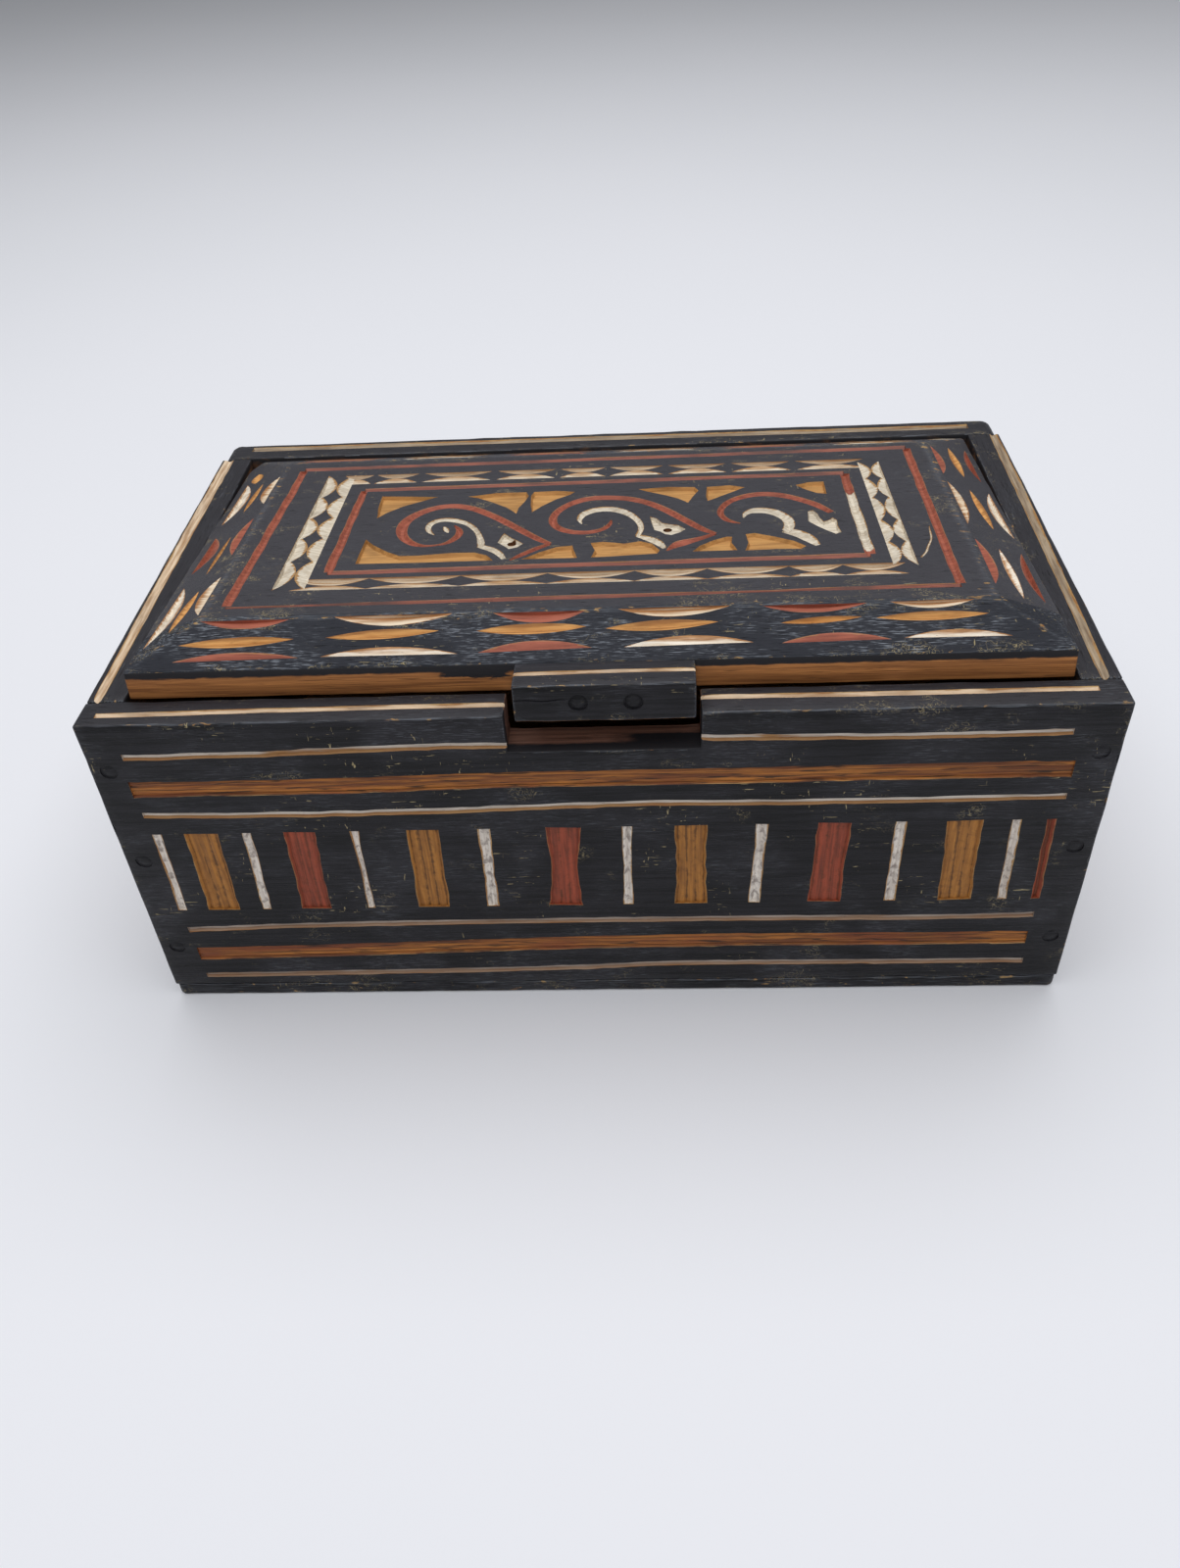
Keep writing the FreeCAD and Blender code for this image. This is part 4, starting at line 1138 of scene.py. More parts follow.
@dataclass
class Board:
    """A worn board that is carved, painted and put in the place of its CAD node."""

    node: str
    slot: str
    low: Triple
    high: Triple
    body: str = "box"
    coat: Paint = Paint.WALL_BLACK
    grain: int = 0
    edge: float = 0.5
    wear: float = 0.3
    pitch: float = 4.0
    margin: float = 2.4

    SKIN: ClassVar[float] = 0.02
    WEAR_REACH: ClassVar[float] = 1.2
    RUB_REACH: ClassVar[float] = 2.2
    CREASE: ClassVar[float] = 28.0

    def walls(self) -> list[tuple[Triple, float]]:
        """Outer planes of the board, as (outward direction, distance from the origin)."""
        planes = []
        for axis in range(3):
            for sign, limit in ((-1.0, -self.low[axis]), (1.0, self.high[axis])):
                planes.append((tuple(sign if k == axis else 0.0 for k in range(3)), limit))
        return planes

    def depths(self, points: np.ndarray) -> np.ndarray:
        """Distance of points inside the outer planes, nearest plane first.

        Args:
            points: Points in board coordinates.

        Returns:
            One row of rising distances for each point.
        """
        planes = self.walls()
        normals = np.array([plane[0] for plane in planes])
        limits = np.array([plane[1] for plane in planes])
        return np.sort(limits[None, :] - points @ normals.T, axis=1)

    def stops(self, axis: int) -> tuple[float, ...]:
        """Places along an axis where the board has to be divided."""
        return ()

    def places(self, axis: int) -> list[float]:
        """Places along an axis where the board is divided."""
        start, end = self.low[axis], self.high[axis]
        return grid_lines(start, end, self.pitch, min(self.margin, (end - start) / 4), self.stops(axis))

    def filled(self, point: Triple) -> bool:
        """Whether the board has wood at a point between its outer planes."""
        return True

    def ease(self, bm: bmesh.types.BMesh) -> None:
        """Rounds the board's edges."""
        soften(bm, self.edge, 3)

    def blank(self) -> bmesh.types.BMesh:
        """The board before it is worn and carved."""
        bm = filled_cells([self.places(axis) for axis in range(3)], self.filled)
        self.ease(bm)
        return bm

    def weather(self, bm: bmesh.types.BMesh) -> None:
        """Wears the board's edges inward, unevenly.

        Args:
            bm: Mesh to change.
        """
        bm.normal_update()
        points = np.array([vert.co for vert in bm.verts])
        near = np.clip(1.0 - self.depths(points)[:, 1] / self.WEAR_REACH, 0.0, 1.0)
        for vert, closeness in zip(bm.verts, near):
            rough = 0.5 + 0.5 * noise.noise(vert.co * 0.16) + 0.35 * noise.noise(vert.co * 0.7)
            vert.co -= vert.normal * (self.SKIN + self.wear * float(closeness) * max(rough, 0.0))

    def cover(self, centre: Vector, normal: Vector) -> Paint:
        """Paint of an uncut face.

        Args:
            centre: Middle of the face.
            normal: Its outward direction.

        Returns:
            The paint.
        """
        return self.coat

    def ornament(self, cuts: Cuts, shop: Workshop) -> None:
        """Adds the board's carving.

        Args:
            cuts: Cuts to add to.
            shop: Tools and materials.
        """

    def build(self, shop: Workshop) -> bpy.types.Object:
        """Makes the finished piece and puts it in the place of its CAD node.

        Args:
            shop: Tools and materials.

        Returns:
            The piece.
        """
        bm = self.blank()
        self.weather(bm)
        bm.normal_update()
        covers = [self.cover(face.calc_center_median(), face.normal) for face in bm.faces]
        used = list(dict.fromkeys(covers))
        for face, paint in zip(bm.faces, covers):
            face.material_index = used.index(paint)
        mesh = bpy.data.meshes.new(self.node + "_board")
        bm.to_mesh(mesh)
        bm.free()
        for paint in used:
            mesh.materials.append(shop.materials[paint])
        cuts = Cuts()
        self.ornament(cuts, shop)
        if cuts.points:
            mesh = self.carve(mesh, cuts.mesh(shop.materials))
        return self.dress(mesh)

    def carve(self, mesh: bpy.types.Mesh, cutter: bpy.types.Mesh) -> bpy.types.Mesh:
        """Takes the cutting solids out of the board.

        Args:
            mesh: Board.
            cutter: Cutting solids.

        Returns:
            The carved board.
        """
        board = bpy.data.objects.new(self.node + "_board", mesh)
        knife = bpy.data.objects.new("cutter", cutter)
        for obj in (board, knife):
            bpy.context.collection.objects.link(obj)
        modifier = board.modifiers.new("carve", "BOOLEAN")
        modifier.operation = "DIFFERENCE"
        modifier.solver = "EXACT"
        modifier.use_self = True
        modifier.material_mode = "TRANSFER"
        modifier.object = knife
        carved = evaluated(board)
        for obj in (board, knife):
            bpy.data.objects.remove(obj)
        return carved

    def dress(self, mesh: bpy.types.Mesh) -> bpy.types.Object:
        """Stores what the paints read, then puts the piece on its body.

        Args:
            mesh: Carved board in millimetres.

        Returns:
            The piece.
        """
        points = corner_points(mesh)
        depths = self.depths(points)
        order = [self.grain, *[axis for axis in range(3) if axis != self.grain]]
        store(mesh, "board", "POINT", points[:, order])
        store(mesh, "depth", "POINT", np.maximum(depths[:, 0], 0.0))
        store(mesh, "wear", "POINT", np.clip(1.0 - depths[:, 1] / self.RUB_REACH, 0.0, 1.0))
        store(mesh, "fall", "CORNER", facet_falls(mesh))
        store(mesh, "tilt", "FACE", np.array([face.normal.z for face in mesh.polygons]))
        return finished(mesh, self.node + "_piece", self.body, self.slot, [self.node], self.CREASE)


class Bar(Enum):
    """Upright bars of the wall ornament, with their paint and usual width."""

    WHITE = (Paint.WHITE_BAR, 2.1)
    OCHRE = (Paint.OCHRE_BAR, 7.0)
    RED = (Paint.RED_BAR, 6.4)


def level(heights: Sequence[tuple[float, float]], width: float) -> list[tuple[float, ...]]:
    """Smooth path of one width through (across, up) points."""
    return smoothed([(x, z, width) for x, z in heights], 12)


@dataclass
class Wall(Board):
    """A wall of the box with stripes and a row of upright bars on its outside."""

    face: Plane = Plane((0.0, -61.0, 0.0), (1.0, 0.0, 0.0), (0.0, 0.0, 1.0))
    half: float = 92.0
    pegs: tuple[tuple[float, float], ...] = ()

    WHITE_LINE: ClassVar[float] = 1.5
    BAND: ClassVar[float] = 4.0
    BROAD_BAR: ClassVar[float] = 4.0
    BAR_SPACING: ClassVar[float] = 14.0
    BAR_LEAN: ClassVar[float] = 0.3
    BAR_WAIST: ClassVar[float] = 0.9
    ROW_END: ClassVar[float] = 2.0
    BAR_HEIGHTS: ClassVar[Triple] = (50.6, 39.5, 28.2)
    RING: ClassVar[float] = 1.77
    RING_DEPTH: ClassVar[float] = 0.25

    def cover(self, centre: Vector, normal: Vector) -> Paint:
        """Paint of an uncut face: bare wood inside."""
        out = Vector(self.face.across).cross(Vector(self.face.up))
        return Paint.INSIDE if normal.dot(out) < -FACING else self.coat

    def lines(self) -> list[tuple[list[tuple[float, float]], Paint]]:
        """Level lines as (points, paint)."""
        reach = self.half
        upper, lower, band = Paint.LINE, Paint.LOW_LINE, Paint.BROWN
        rows = ((72.2, upper), (63.2, band), (56.2, upper), (23.0, lower), (15.8, band), (8.4, lower))
        return [
            ([(-reach, z - 0.3), (-reach / 3, z + 0.1), (reach / 3, z + 0.3), (reach, z)], paint)
            for z, paint in rows]

    def bars(self) -> list[tuple[Bar, float, float, float, float]]:
        """Upright bars as (kind, across at the top, across at the foot, width, waist)."""
        row = []
        kinds = (Bar.WHITE, Bar.OCHRE, Bar.WHITE, Bar.RED)
        count = 2 * round(self.half / self.BAR_SPACING) + 1
        for i in range(count):
            place = (i / (count - 1) - 0.5) * 2.0 * (self.half - self.ROW_END)
            kind = kinds[i % 4]
            row.append((kind, place, place - self.BAR_LEAN, kind.value[1], self.BAR_WAIST))
        return row

    def ornament(self, cuts: Cuts, shop: Workshop) -> None:
        """Adds lines, bands, bars, the rim's line and the rings around the pegs."""
        for points, paint in self.lines():
            if paint is Paint.BROWN:
                groove = Groove(level(points, self.BAND), paint, depth=0.55, floor=0.86, flutes=3)
            else:
                groove = Groove(level(points, self.WHITE_LINE), paint, depth=0.6, floor=0.55, wobble=0.2)
            groove.cut(cuts, self.face)
        for kind, top, foot, width, waist in self.bars():
            paint = kind.value[0]
            across = (top, (top + foot) / 2, foot)
            path = smoothed(list(zip(across, self.BAR_HEIGHTS, (width, width * waist, width))), 5)
            if width > self.BROAD_BAR:
                groove = Groove(path, paint, depth=0.65, floor=0.84, flutes=3)
            else:
                groove = Groove(path, paint, depth=0.8, floor=0.15, wobble=0.2)
            groove.cut(cuts, self.face)
        for across, up in self.pegs:
            Bore(across, up, self.RING, self.RING_DEPTH, self.coat).cut(cuts, self.face)
        self.rim(cuts)

    def rim(self, cuts: Cuts) -> None:
        """Adds the line along the wall's top edge."""


@dataclass
class FrontWall(Wall):
    """The front wall, with the catch notch in its top edge."""

    notch: tuple[float, float, float] = (-16.5, 20.5, 70.5)

    NICKS: ClassVar[tuple] = (
        (99.8, 70.2, 3.4), (99.6, 65.6, 4.6), (99.9, 61.0, 2.6), (99.7, 55.4, 3.8), (99.9, 47.0, 2.4),
        (99.8, 38.8, 4.0), (-99.8, 66.0, 3.0), (-99.7, 52.6, 4.2), (-99.9, 47.4, 2.2), (-99.8, 33.0, 3.2))

    NEAR: ClassVar[float] = 0.05
    FAR: ClassVar[float] = 99.0

    def stops(self, axis: int) -> tuple[float, ...]:
        """Places along an axis where the board has to be divided for its notch."""
        left, right, ledge = self.notch
        across = (left - self.margin, left, right, right + self.margin)
        return (across, (), (ledge - self.margin, ledge))[axis]

    def filled(self, point: Triple) -> bool:
        """Whether there is wood at a point: not in the notch."""
        left, right, ledge = self.notch
        return not (left < point[0] < right and point[2] > ledge)

    def depths(self, points: np.ndarray) -> np.ndarray:
        """Distance inside the outer planes and the notch's faces."""
        planes = super().depths(points)
        left, right, ledge = self.notch
        x, z = points[:, 0], points[:, 2]
        inside = (x > left - self.NEAR) & (x < right + self.NEAR)
        beside = np.where(x < left + self.NEAR, left - x, x - right)
        over = np.where(z > ledge - self.NEAR, beside, self.FAR)
        below = np.where(inside, ledge - z, self.FAR)
        extra = np.stack((np.maximum(over, 0.0), np.maximum(below, 0.0)), axis=1)
        return np.sort(np.concatenate((planes, extra), axis=1), axis=1)

    def cover(self, centre: Vector, normal: Vector) -> Paint:
        """Paint of an uncut face: worn wood in the notch, bare wood inside."""
        left, right, ledge = self.notch
        lip = 0.4
        in_notch = left - lip < centre.x < right + lip and centre.z > ledge - lip
        if in_notch and abs(normal.y) < 0.8:
            return Paint.LEDGE
        return super().cover(centre, normal)

    def lines(self) -> list[tuple[list[tuple[float, float]], Paint]]:
        """Level lines, hand-cut and a little slanted; the notch breaks the top one."""
        left, right, _ = self.notch
        upper, lower, band = Paint.LINE, Paint.LOW_LINE, Paint.BROWN
        return [
            ([(-92.3, 71.0), (-64.0, 71.3), (-30.0, 72.3), (left + 1.0, 71.9)], upper),
            ([(right - 1.0, 73.0), (40.0, 72.7), (69.0, 72.3), (90.0, 72.6)], upper),
            ([(-93.0, 62.7), (-50.0, 62.8), (-18.0, 63.5), (16.0, 63.4), (69.0, 63.6), (91.7, 63.5)], band),
            ([(-92.5, 55.9), (-64.0, 55.4), (-30.0, 55.8), (8.0, 56.7), (43.0, 56.3), (91.7, 56.6)], upper),
            ([(-92.0, 22.1), (-64.0, 23.0), (-18.0, 23.4), (30.0, 23.4), (69.0, 23.0), (91.3, 23.3)], lower),
            ([(-91.7, 14.1), (-50.0, 15.0), (-10.0, 16.2), (30.0, 16.6), (69.0, 16.3), (91.0, 16.3)], band),
            ([(-91.7, 6.9), (-50.0, 7.3), (-10.0, 8.1), (16.0, 9.2), (56.0, 9.0), (91.5, 8.9)], lower),
        ]

    def bars(self) -> list[tuple[Bar, float, float, float, float]]:
        """Upright bars at the places they have in the row."""
        return [
            (Bar.WHITE, -91.1, -91.6, 2.0, 0.95),
            (Bar.OCHRE, -81.9, -82.3, 7.0, 0.97),
            (Bar.WHITE, -72.3, -72.8, 2.0, 0.95),
            (Bar.RED, -61.4, -62.0, 6.4, 0.97),
            (Bar.WHITE, -50.0, -50.0, 1.9, 0.6),
            (Bar.OCHRE, -35.9, -36.3, 6.8, 0.98),
            (Bar.WHITE, -23.3, -23.5, 2.6, 0.9),
            (Bar.RED, -7.1, -7.9, 7.4, 0.76),
            (Bar.WHITE, 5.7, 5.5, 2.3, 0.7),
            (Bar.OCHRE, 18.7, 18.8, 6.8, 0.9),
            (Bar.WHITE, 33.1, 32.0, 2.4, 0.95),
            (Bar.RED, 47.5, 46.7, 6.7, 0.96),
            (Bar.WHITE, 60.7, 60.4, 2.4, 0.95),
            (Bar.OCHRE, 73.1, 73.9, 7.2, 0.92),
            (Bar.WHITE, 83.3, 83.7, 2.1, 0.95),
            (Bar.RED, 90.0, 90.7, 1.9, 0.95),
        ]

    def ornament(self, cuts: Cuts, shop: Workshop) -> None:
        """Adds the carving, and nicks in the upright edges."""
        super().ornament(cuts, shop)
        width, depth, sway = 1.3, 0.55, 6.0
        nicks = [Chip(ChipShape.LENS, x, z, 90.0 + sway * math.sin(z), length, width, depth)
                 for x, z, length in self.NICKS]
        shop.chips.cut(cuts, self.face, nicks, self.coat)

    def rim(self, cuts: Cuts) -> None:
        """Adds the line along the rim, on both sides of the notch."""
        left, right, _ = self.notch
        for points in ([(-96.4, -57.7), (-60.0, -57.2), (left + 1.0, -57.0)],
                       [(right - 1.0, -56.1), (60.0, -56.3), (94.6, -56.2)]):
            Groove(level(points, 1.5), Paint.RIM_LINE, depth=0.7, floor=0.1).cut(cuts, TOP)


@dataclass
class BackWall(Wall):
    """The back wall, its top corners worn round."""

    corner: float = 3.4
    margin: float = 4.6

    def ease(self, bm: bmesh.types.BMesh) -> None:
        """Rounds the top corners, then the edges."""
        end, top = self.high[0] - TOUCH, self.high[2] - TOUCH
        soften(bm, self.corner, 6,
               pick=lambda edge: all(v.co.z > top and abs(v.co.x) > end for v in edge.verts))
        soften(bm, self.edge, 3, least=SQUARE)

    def rim(self, cuts: Cuts) -> None:
        """Adds the broad worn line along the rim."""
        points = [(-93.0, 58.2), (-30.0, 58.0), (40.0, 57.6), (93.0, 57.4)]
        Groove(level(points, 2.4), Paint.DULL_LINE, depth=0.8, floor=0.2).cut(cuts, TOP)


@dataclass
class SideWall(Wall):
    """A short wall that stands between the long ones."""

    rim_line: tuple[Triple, ...] = ()
    rim_paint: Paint = Paint.DULL_LINE

    def rim(self, cuts: Cuts) -> None:
        """Adds the line along the rim, from the back wall to the front wall."""
        Groove(smoothed(self.rim_line, 12), self.rim_paint, depth=0.7, floor=0.1).cut(cuts, TOP)


@dataclass
class BaseBoard(Board):
    """The thin board under the walls."""

    corner: float = 2.0
    margin: float = 4.0

    UPRIGHT_EDGE: ClassVar[float] = 3.0

    def places(self, axis: int) -> list[float]:
        """Places along an axis where the board is divided; it is too thin to divide upward."""
        return super().places(axis) if axis < 2 else [self.low[2], self.high[2]]

    def ease(self, bm: bmesh.types.BMesh) -> None:
        """Rounds the upright corners, then the edges."""
        end, side = self.high[0] - TOUCH, self.high[1] - TOUCH
        soften(bm, self.corner, 5, pick=lambda edge: edge.calc_length() > self.UPRIGHT_EDGE and all(
            abs(v.co.x) > end and abs(v.co.y) > side for v in edge.verts))
        soften(bm, self.edge, 2, least=SQUARE)

    def cover(self, centre: Vector, normal: Vector) -> Paint:
        """Paint of a face: black round the edge, bare wood inside the box and below."""
        inside = abs(centre.x) < self.high[0] - self.margin and abs(centre.y) < self.high[1] - self.margin
        return Paint.BARE if abs(normal.z) > FACING and inside else self.coat


@dataclass
class CatchBlock(Board):
    """The block on the lid's front edge that fills the notch."""

    pegs: tuple[tuple[float, float], ...] = ()

    RING: ClassVar[float] = 1.86
    RING_DEPTH: ClassVar[float] = 0.45
    CRACK: ClassVar[tuple] = (
        (-15.5, 75.6, 0.45), (-12.5, 75.8, 0.35), (-9.0, 75.5, 0.4), (-6.0, 75.8, 0.3), (-4.6, 75.7, 0.1))

    def cover(self, centre: Vector, normal: Vector) -> Paint:
        """Paint of a face: bare wood behind and below."""
        return Paint.BARE if normal.y > FACING or normal.z < -FACING else self.coat

    def ornament(self, cuts: Cuts, shop: Workshop) -> None:
        """Adds the line over the top, the rings around the pegs and the crack."""
        points = [(self.low[0] - 1.0, -56.5), (3.0, -56.2), (self.high[0] + 1.0, -56.0)]
        Groove(level(points, 1.3), Paint.RIM_LINE, depth=0.7, floor=0.1).cut(cuts, TOP)
        front = Plane((0.0, self.low[1], 0.0), (1.0, 0.0, 0.0), (0.0, 0.0, 1.0))
        for across, up in self.pegs:
            Bore(across, up, self.RING, self.RING_DEPTH, self.coat).cut(cuts, front)
        Groove(smoothed(self.CRACK, 3), self.coat, depth=0.8).cut(cuts, front)


class LeafEdge(Enum):
    """Which side of a bevel leaf is straight: the one to the ridge, the one to the foot, or neither."""

    UPPER = "upper"
    LOWER = "lower"
    NEITHER = "neither"


@dataclass(frozen=True)
class Leaf:
    """A leaf cut into a bevel, between two tips that are (across, up) from the bevel's ridge."""

    paint: Paint
    edge: LeafEdge
    start: tuple[float, float]
    end: tuple[float, float]
    width: float
    depth: float = 0.95

    def chip(self) -> Chip:
        """The knife chip that cuts the leaf."""
        (left, low), (right, high) = self.start, self.end
        turn = math.degrees(math.atan2(high - low, right - left))
        shape = ChipShape.LENS if self.edge is LeafEdge.NEITHER else ChipShape.BOAT
        if self.edge is LeafEdge.UPPER:
            turn += 180.0
        length = math.hypot(right - left, high - low)
        return Chip(shape, (left + right) / 2, (low + high) / 2, turn, length, self.width, self.depth)


def leaf_group(outer: Paint, middle: Paint, *leaves: Sequence[float]) -> list[Leaf]:
    """Three leaves across a bevel, of hand-cut widths.

    Args:
        outer: Paint of the two leaves with a straight side.
        middle: Paint of the leaf between them.
        leaves: From the ridge down: start across, start up, end across, end up, width.

    Returns:
        The leaves.
    """
    ridge = Paint.CREAM if outer is Paint.WHITE else outer
    order = ((ridge, LeafEdge.UPPER), (middle, LeafEdge.NEITHER), (outer, LeafEdge.LOWER))
    return [Leaf(paint, edge, sizes[:2], sizes[2:4], sizes[4])
            for (paint, edge), sizes in zip(order, leaves)]


@dataclass(frozen=True)
class ChipStrip:
    """A strip of two facing rows of boats that leaves a chain of dark diamonds between them.

    overlap is a chip's length over its pitch, and share the part of the strip's width that the inner row
    takes.
    """

    outer: float
    inner: float
    joints: Sequence[float]
    upright: bool
    overlap: float = 1.24
    share: float = 0.5
    depth: float = 0.9

    def chips(self) -> list[Chip]:
        """The strip's chips."""
        made = []
        across = abs(self.outer - self.inner)
        rows = ((self.outer, self.inner, across * (1.0 - self.share)),
                (self.inner, self.outer, across * self.share))
        for start, end in zip(self.joints, self.joints[1:]):
            middle = (start + end) / 2
            span = abs(end - start) * self.overlap
            for edge, other, width in rows:
                ahead = other > edge
                if self.upright:
                    place = (edge, middle, -90.0 if ahead else 90.0)
                else:
                    place = (middle, edge, 0.0 if ahead else 180.0)
                made.append(Chip(ChipShape.BOAT, *place, span, width, self.depth))
        return made


@dataclass
class Lid(Board):
    """The lid board: a broad bevel on all four sides and a flat top with scrolls."""

    rim_height: float = 79.0
    inset: float = 12.5
    draft: float = 0.7
    foot: float = 0.2
    worn: float = 11.0

    RED_CURVES: ClassVar[tuple] = (
        ((-9.9, -10.8, 1.2), (-12.5, -8.5, 1.8), (-17.0, -3.4, 2.0), (-21.0, 1.3, 2.1), (-25.0, 5.5, 2.2),
         (-29.0, 8.7, 2.3), (-33.0, 10.2, 2.4), (-37.0, 9.6, 2.4), (-40.6, 7.0, 2.5), (-42.9, 3.4, 2.6),
         (-43.6, -0.6, 2.6), (-42.7, -5.0, 2.4), (-40.4, -8.4, 2.0), (-37.6, -10.0, 1.2), (-34.6, -9.8, 0.8),
         (-32.2, -8.6, 1.4), (-30.5, -5.6, 1.8), (-30.5, -2.8, 1.5), (-31.9, -0.2, 0.4)),
        ((-9.9, -10.8, 1.2), (-13.0, -13.2, 1.6), (-16.0, -16.0, 1.4), (-18.0, -18.2, 0.5)),
        ((25.6, -8.3, 1.2), (23.0, -6.0, 1.9), (19.5, -1.4, 2.1), (15.5, 4.0, 2.2), (11.5, 8.3, 2.3),
         (7.2, 11.0, 2.4), (2.5, 12.1, 2.4), (-1.8, 12.0, 2.4), (-5.4, 10.2, 2.2), (-8.3, 7.0, 2.0),
         (-9.8, 3.2, 1.9), (-9.8, -0.4, 1.9), (-8.3, -3.4, 1.9), (-5.3, -5.4, 1.9), (-1.8, -5.8, 1.8),
         (1.2, -4.4, 1.5), (2.7, -2.0, 1.1), (3.0, 0.2, 0.3)),
        ((25.6, -8.3, 1.2), (22.0, -10.6, 1.8), (18.3, -12.4, 2.8), (16.4, -14.0, 1.8), (15.0, -15.8, 0.4)),
        ((51.3, 0.6, 1.6), (48.8, 4.4, 2.1), (45.0, 8.0, 2.3), (41.0, 10.5, 2.4), (37.0, 11.4, 2.4),
         (33.0, 10.5, 2.2), (29.6, 8.0, 1.8), (27.6, 4.5, 1.6), (27.3, 1.0, 1.5), (28.7, -2.0, 1.4),
         (31.2, -3.6, 0.5)),
    )
    WHITE_CURVES: ClassVar[tuple] = (
        ((-35.8, -4.8, 0.3), (-37.3, -2.6, 1.2), (-37.6, 0.0, 1.5), (-36.5, 2.1, 1.8), (-34.3, 3.0, 2.0),
         (-31.5, 2.2, 1.9), (-28.8, 0.2, 1.5), (-26.8, -3.0, 1.3), (-25.6, -6.5, 1.4), (-25.0, -9.4, 1.7),
         (-24.9, -11.0, 1.5)),
        ((-25.4, -10.8, 1.6), (-22.6, -12.6, 1.9), (-20.6, -14.8, 1.7), (-19.3, -17.4, 1.0)),
        ((-3.4, -1.4, 0.3), (-4.0, 1.0, 1.3), (-3.2, 3.6, 2.0), (-1.0, 5.5, 2.4), (2.0, 6.0, 2.6),
         (5.0, 4.8, 2.4), (7.5, 2.2, 1.9), (9.2, -1.5, 1.5), (9.6, -5.0, 1.3), (8.9, -8.2, 1.2)),
        ((8.7, -8.0, 1.3), (11.4, -9.9, 2.1), (13.3, -12.0, 2.1), (14.6, -14.6, 1.0)),
        ((32.1, -0.8, 0.3), (32.8, 1.4, 1.5), (34.5, 2.6, 2.5), (37.0, 2.6, 2.9), (39.5, 1.0, 2.8),
         (41.3, -1.8, 2.6), (41.7, -5.0, 2.5), (40.9, -7.9, 2.2)),
        ((40.2, -7.7, 2.2), (43.0, -9.4, 3.2), (45.1, -11.9, 3.1), (46.7, -15.3, 1.2)),
    )
    EYES: ClassVar[tuple] = (
        ((-20.3, -4.9), (-18.4, -7.5), (-17.1, -8.8), (-15.7, -10.4), (-16.9, -12.0), (-18.7, -12.8),
         (-19.8, -11.3), (-21.4, -9.5), (-20.9, -7.0)),
        ((11.6, 1.4), (13.1, 0.2), (14.2, -2.1), (16.0, -3.0), (17.7, -3.5), (19.3, -5.7), (18.1, -7.1),
         (16.2, -8.3), (14.8, -7.8), (13.8, -6.5), (12.5, -5.6), (12.0, -2.5)),
        ((46.3, 1.4), (47.5, 2.0), (48.3, 0.1), (48.5, -1.8), (49.2, -4.0), (50.6, -3.0), (51.3, -2.0),
         (52.1, -3.4), (51.9, -6.2), (52.3, -9.4), (51.0, -10.2), (49.2, -8.2), (47.7, -6.3), (45.9, -3.6)),
    )
    PUPILS: ClassVar[tuple] = ((-18.4, -9.0), (15.4, -4.4))
    GROUNDS: ClassVar[tuple] = (
        ((-51.0, 17.0), (-50.8, 10.0), (-50.2, 4.9), (-48.5, 7.5), (-45.0, 11.0), (-40.5, 13.8),
         (-37.5, 15.6)),
        ((-30.6, 15.3), (-28.0, 14.2), (-25.0, 12.0), (-21.0, 8.5), (-18.5, 5.0), (-18.2, 8.0), (-17.0, 11.5),
         (-16.3, 14.5), (-17.0, 16.7), (-24.0, 16.8)),
        ((-15.8, 14.5), (-15.5, 9.0), (-15.0, 5.5), (-13.0, 8.5), (-10.0, 12.0), (-6.6, 14.6), (-5.6, 16.0),
         (-10.0, 16.9), (-15.2, 16.7)),
        ((-50.8, -5.8), (-51.0, -17.7), (-36.0, -18.0), (-21.6, -18.0), (-23.2, -15.4), (-26.0, -13.9),
         (-31.0, -13.8), (-38.0, -14.6), (-42.0, -14.5), (-45.0, -12.4), (-48.5, -9.0)),
        ((-15.7, -17.8), (-3.8, -17.9), (-4.6, -14.5), (-5.0, -12.0), (-8.5, -12.5), (-12.0, -14.8)),
        ((-1.2, -11.0), (-0.2, -14.5), (-0.9, -17.9), (6.0, -17.5), (13.0, -17.0), (13.6, -15.5),
         (12.0, -12.3), (9.5, -10.9), (6.0, -11.8), (1.5, -10.6)),
        ((9.0, 16.4), (11.5, 14.6), (15.0, 12.6), (18.0, 10.5), (20.2, 8.0), (21.3, 11.0), (22.8, 14.5),
         (22.0, 16.5), (16.0, 17.1)),
        ((24.8, 16.4), (24.4, 11.0), (24.6, 8.6), (27.5, 10.8), (31.0, 13.5), (33.5, 15.5), (30.0, 16.9)),
        ((45.0, 15.8), (47.2, 13.0), (49.4, 11.0), (51.5, 10.4), (51.6, 17.3), (48.0, 17.2)),
        ((20.4, -16.5), (29.8, -16.5), (28.8, -13.0), (29.1, -10.1), (27.8, -10.0), (25.0, -11.5),
         (22.0, -14.0)),
        ((32.0, -9.0), (32.3, -13.0), (31.4, -16.8), (38.0, -16.5), (43.0, -16.8), (44.2, -15.6),
         (42.0, -13.0), (38.0, -10.6), (34.0, -8.6)),
    )
    STRIPS: ClassVar[tuple] = (
        ChipStrip(-66.4, -59.6, (29.0, 17.4, 6.0, -4.6, -15.8, -27.5), upright=True),
        ChipStrip(65.7, 60.7, (27.0, 18.2, 7.7, -4.0, -14.6, -24.6), upright=True),
        ChipStrip(-29.1, -24.3, (-62.5, -46.8, -27.6, -9.6, 8.3, 23.1, 39.7, 50.6, 63.0), upright=False,
                  overlap=1.06, share=0.64),
        ChipStrip(29.8, 24.6, (-62.5, -54.8, -43.5, -25.5, -10.2, 1.6, 15.4, 30.4, 45.5, 63.0), upright=False,
                  overlap=0.94),
    )
